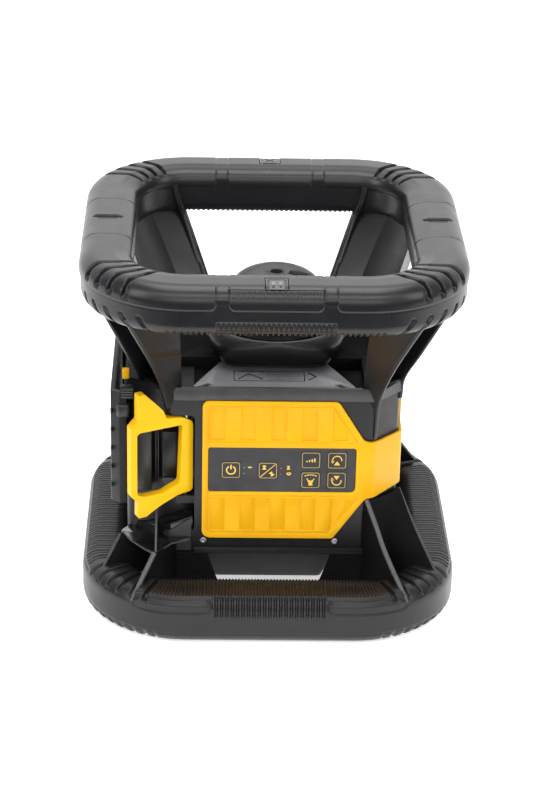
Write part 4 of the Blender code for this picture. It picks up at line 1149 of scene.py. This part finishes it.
def build_key(name, back, top):
    """One key with its border and mark. Returns the hole it needs in the panel."""
    low, high = box(name)
    x, z = (low.x + high.x) / 2, (low.z + high.z) / 2
    half_x, half_z = (high.x - low.x) / 2, (high.z - low.z) / 2
    key = plate(f"{name}_looks", [rounded(rectangle(x, z, half_x, half_z), 1.6)], back + 0.2, top, standing())
    soft_piece(key, (0.15, 2), "film", name, body=name)
    place = Matrix.Translation((x, 0, z)) @ standing()
    ring = [rounded(rectangle(0, 0, 5.9, 5.6), 1.5), rounded(rectangle(0, 0, 5.5, 5.2), 1.15)]
    piece(plate(f"{name}_border", ring, top - 0.1, top + 0.06, place), "print_pale", body=name)
    piece(plate(f"{name}_icon", icon_loops(name), top - 0.1, top + 0.08, place), "print_yellow", body=name)
    return rounded(rectangle(x, z, half_x + 0.15, half_z + 0.15), 1.7)


def build_keypad():
    back = -BODY_FRONT + GAP
    face = back + COVER_THICKNESS - 0.4
    film = rounded(oblong(-40.9, 85.5, 55.9, 117.5), (1.4, 3.2, 1.8, 1.4))
    holes = [build_key(name, back, face + 0.25) for name in KEYS]
    panel = plate("keypad_looks", [film, *holes], back, face, standing())
    soft_piece(panel, (0.15, 2), "film", "keypad_panel")
    for node, finish, x, heights in LENSES:
        for index, z in enumerate(heights):
            dome = rod(f"{node}_{index}", (x, 0.4 - face, z), (x, -face - 0.25, z), 0.75, 24, 0.5)
            piece(dome, finish, *([] if index else [node]))
    marks = [stroke(-14.9, 103.2, -12.4, 103.2, 0.8), instrument(11.7, 103.2, 1.3, 0),
             arc(1.2, 0.8, 180, 360, 12, 99.2), stroke(11, 99.4, 13.2, 99.4, 0.6)]
    piece(plate("panel_marks", marks, face - 0.1, face + 0.06, standing()), "print_yellow")


# ---------------------------------------------------------------- latch and door
def build_latch():
    """The yellow pull loop, with a sloping top, stepped ends and rounded bars."""
    pin = Vector((*LATCH_PIN, 0))
    along = Vector((-90, -79, 0)) - pin
    bar = 3.9
    far, edge, inside = along.length - 2.2, along.length + 3, along.length - 1.6
    outer = rounded([(-bar, 83), (-bar, 133.5), (4, 137.8), (15, 139), (17.5, 145.2), (21.8, 150),
                     (30.5, 159), (far, 159), (far, 141.5), (edge, 136.5), (edge, 87), (far, 82), (far, 70),
                     (far - 6, 70.2), (far - 12, 74), (19, 76.5), (7, 81.5)],
                    (3, 4, 3, 3, 2, 2, 1.2, 0.8, 1, 2.2, 2.2, 1, 0.8, 1.5, 2, 4, 4))
    inner = rounded([(bar + 1.2, 90.5), (bar - 0.4, 132.5), (inside, 132.2), (inside, 86.8), (inside - 6, 85),
                     (18, 85)], (3.5, 1.2, 3, 3, 3, 6))
    turn = Matrix.Rotation(atan2(along.y, along.x), 4, "Z")
    place = Matrix.Translation(pin) @ turn @ standing()
    latch = plate("latch_loop", [outer, inner], -3, 3, place)
    latch = cut(latch, upright_rod("latch_bore", *LATCH_PIN, 50, 170, 1.8, 24))
    soft_piece(latch, (1.7, 5, 35), "latch_yellow", "door_latch", body="latch")
    for label, low, high, start in (("top", 147.5, 158.5, far - 11.5), ("foot", 70.6, 76.2, far - 9.5)):
        loop = rounded(oblong(start, low, far - 0.6, high), 1.2)
        step = plate(f"latch_step_{label}", [loop], 2.6, 3.4, place)
        step = keep_inside(step, plate("step_limit", [outer], -10, 10, place))
        piece(soften(step, 0.3, 2), "latch_yellow", body="latch")


def build_door():
    """The battery door: a panel with rounded ends, a raised field, a hinge barrel and moulded steps."""
    outside, low, high = DOOR_LOW.x, DOOR_LOW.z, DOOR_HIGH.z
    inside = outside + 3.2
    outline = rounded([(outside, 60), (outside, -66.5), (-99, -72), (-94.5, -72), (-94.5, -68.8),
                       (-97, -68.8), (inside, -65), (inside, 60)], (1, 3, 1.5, 0.4, 0.4, 1, 1, 1))
    web = block("door_web", (outside, 56, 85), (inside, 66, 149))
    barrel = upright_rod("door_barrel", *HINGE_PIN, 85, 149, 3.6)
    door = join(plate("door_panel", [outline], low, high), web, barrel)
    bore = upright_rod("door_bore", *HINGE_PIN, 60, 170, 1.8, 24)
    field = rounded(oblong(-56, low + 10, 50, high - 10), 4)
    field = plate("door_field", [field], outside - 2, outside + 0.7, facing_right())
    soft_piece(cut(door, bore, field), (0.8, 3, 35), "door_black", "battery_door", body="door")
    for index in range(7):
        y = -40 + index * 13
        rib = block(f"door_rib_{index}", (outside + 0.1, y, low + 16), (outside + 1.2, y + 5, high - 16), 0.4)
        piece(rib, "door_black", body="door")
    for index in range(5):
        z = low + 10 + index * 13.5
        tick = block(f"door_tick_{index}", (outside - 0.1, -69, z), (outside + 1, -65.5, z + 3), 0.3)
        piece(tick, "housing_grey", body="door")
    build_thumb_rest(high)


def build_thumb_rest(high):
    """The ribbed block at the door's top front corner, the bump below it and the yellow inlay beside it."""
    thumb = block("door_thumb_rest", (-98.5, -72.2, high - 4.5), (-89.5, -66.8, high + 4.5), 1)
    piece(thumb, "door_black", body="door")
    for index in range(4):
        z = high - 2.6 + index * 1.8
        rib = tube(f"door_thumb_rib_{index}", [(-97.8, -72.4, z), (-90.2, -72.4, z)], 0.5, 2)
        piece(rib, "housing_grey", body="door")
    bump = block("door_bump", (-101, -73.8, high - 17.5), (-92.5, -69, high - 7.5), 2.2, 5)
    piece(bump, "collar_black", body="door")
    piece(block("corner_inlay", (-97.5, -61, high + 5), (-93, -59, high + 12.5), 0.5), "yellow")


# ---------------------------------------------------------------- head
def build_head():
    build_collar()
    low, high = TURRET_LOW.z, TURRET_HIGH.z
    radius = TURRET_HIGH.x - HEAD_X
    profile = [(radius, high), (radius, low), (radius - 3, low), (radius - 3, high)]
    window_hole = block("beam_window", (-40, -10, low + 5.7), (46, 10, high - 4))
    turret = cut(turned("turret_looks", profile, HEAD_X), window_hole)
    soft_piece(turret, (0.5, 2, 40), "gloss_black", "rotor_turret", body="rotor")
    rim = CAP_HIGH.x - HEAD_X
    low, high = CAP_LOW.z, CAP_HIGH.z
    profile = [(4.8, high - 0.6), (10.5, high), (15, high - 0.6), (20, high - 2.2), (24, high - 4.2),
               (rim - 0.6, low + 1.2), (rim, low + 0.4), (rim - 0.5, low), (4, low), (4, high - 1.2)]
    slot = plate("cap_slot", [[(10, -6.5), (43, -20), (43, 1), (12.5, -0.5)]], low + 3, high + 10)
    cap = cut(turned("cap_looks", profile, HEAD_X), slot)
    soft_piece(cap, (0.4, 2, 45), "housing_grey", "rotor_cap", body="rotor")


def build_collar():
    """The glossy funnel round the rotor: square at the deck, round at its rim, rolled at both ends."""
    low, high = COLLAR_LOW.z, COLLAR_HIGH.z
    columns, levels, wall = 128, 24, 2.4
    wall_rows = [(34.5 + 13.5 * sin(level / levels * pi / 2), 6 - 4 * level / levels,
                  low + level / levels * (high - low)) for level in range(levels + 1)]
    rim = wall_rows[-1][0]
    rows = [(36.8, 6, low), (37.1, 6, low + 1), (36.4, 6, low + 1.7), (35, 6, low + 1.8), *wall_rows,
            (rim - 0.8, 2, high + 0.4), (rim - 2.2, 2, high),
            *[(radius - wall, power, z) for radius, power, z in reversed(wall_rows)]]
    verts = []
    for radius, power, z in rows:
        for step in range(columns):
            c, s = cos(tau * (step + 0.5) / columns), sin(tau * (step + 0.5) / columns)
            stretch = radius * (abs(c) ** power + abs(s) ** power) ** (-1 / power)
            verts.append((HEAD_X + stretch * c, stretch * s, z))
    collar = mesh_object("collar_looks", verts, swept_faces(len(rows), columns))
    fix_normals(collar.data)
    piece(collar, "collar_black", "head_collar", angle=50)


# ---------------------------------------------------------------- inner pieces keep their CAD shape
INNER = {
    "steel": ("door_hinge_pin", "latch_pin", "gimbal_pin_left", "gimbal_pin_right", "lower_bearing",
              "upper_bearing", "spindle_motor", "leveling_motor_x", "leveling_motor_y"),
    "aluminium": ("gimbal_ring", "gimbal_yoke", "laser_sleeve", "rotor_pulley", "prism_seat"),
    "brass": ("tripod_thread", "side_thread", "laser_module", "motor_pulley", "battery_terminals"),
    "glass": ("collimator_lens", "penta_prism"),
    "rubber": ("door_seal", "drive_belt"),
    "board": ("control_board",),
    "housing_black": ("battery_bay", "battery_pack", "rotor_hub"),
}


def finish_inner():
    for finish, names in INNER.items():
        material, slot = FINISHES[finish]
        for name in names:
            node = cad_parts[name]
            node.data.materials.clear()
            node.data.materials.append(material)


# ---------------------------------------------------------------- stage, light and camera, in metres
def build_stage():
    bm = bmesh.new()
    bm.faces.new([bm.verts.new((*point, 0.0)) for point in oblong(-9.0, -0.43, 9.0, 12.0)])
    floor = from_bmesh("floor", bm)
    material, graph, shader = new_material("floor_white")
    graph.fill(shader, {"Base Color": (0.92, 0.92, 0.92), "Roughness": 0.9, "Specular IOR Level": 0.1,
                        "Emission Color": (1.0, 1.0, 1.0), "Emission Strength": 0.55})
    floor.data.materials.append(material)
    floor.location.z = -0.0002


# each light's place, width, height and power; all face the part
LIGHTS = {
    "softbox_top": ((0.0, 0.1, 1.5), 1.0, 0.9, 13),
    "softbox_left": ((-1.3, -0.9, 0.9), 0.4, 1.0, 8),
    "softbox_right": ((1.3, -0.8, 0.9), 0.4, 1.0, 6),
    "softbox_front": ((0.0, -1.5, 0.72), 1.3, 0.4, 4),
    "softbox_high": ((0.0, -1.0, 1.3), 1.4, 0.3, 6),
}


def build_lights():
    for name, (place, width, height, power) in LIGHTS.items():
        light = bpy.data.lights.new(name, "AREA")
        light.shape = "RECTANGLE"
        light.size, light.size_y, light.energy = width, height, power
        obj = add_object(name, light)
        obj.location = place
        obj.rotation_euler = (Vector((0.0, 0.0, 0.12)) - Vector(place)).to_track_quat("-Z", "Y").to_euler()


def build_world():
    """A studio that is bright behind and above the part, and dark in front of it low down."""
    world = bpy.data.worlds.new("studio")
    bpy.context.scene.world = world
    world.use_nodes = True
    graph = Graph(world.node_tree)
    direction = graph.add("TexCoord", "Generated")
    y = graph.add("SeparateXYZ", "Y", {"Vector": direction})
    z = graph.add("SeparateXYZ", "Z", {"Vector": direction})
    above_floor = graph.spread(z, 0.0, 1.0, -0.05, 0.1)
    front = graph.maths("MULTIPLY", graph.spread(y, 0.6, 0.0, -0.9, -0.2), above_floor)
    sides = graph.maths("ADD", graph.spread(y, 0.0, 1.45, 0.15, 0.75), front)
    total = graph.maths("ADD", sides, graph.spread(z, 0.13, 0.5, 0.1, 0.8))
    graph.fill(graph.nodes["Background"].inputs, {"Color": (1.0, 1.0, 1.0), "Strength": total})


def build_camera():
    """A long lens, a little left of centre and 25 degrees above the horizon."""
    data = bpy.data.cameras.new("camera")
    data.lens = 110.03
    data.sensor_width = 36.0
    data.clip_start, data.clip_end = 0.05, 50.0
    camera = add_object("camera", data)
    bpy.context.scene.camera = camera
    target, distance = Vector((0.0006, 0.0, 0.1192)), 1.6644
    azimuth, elevation = radians(1.68), radians(25.28)
    back = Vector((-sin(azimuth) * cos(elevation), -cos(azimuth) * cos(elevation), sin(elevation)))
    camera.location = target + back * distance
    roll = Matrix.Rotation(radians(1.28), 4, "Z")
    camera.rotation_euler = ((-back).to_track_quat("-Z", "Y").to_matrix().to_4x4() @ roll).to_euler()


def main():
    bpy.context.scene.view_settings.view_transform = "Standard"
    build_rings()
    build_pillars()
    build_housing()
    build_covers()
    build_keypad()
    build_latch()
    build_door()
    build_head()
    finish_inner()
    build_stage()
    build_world()
    build_lights()
    build_camera()


main()
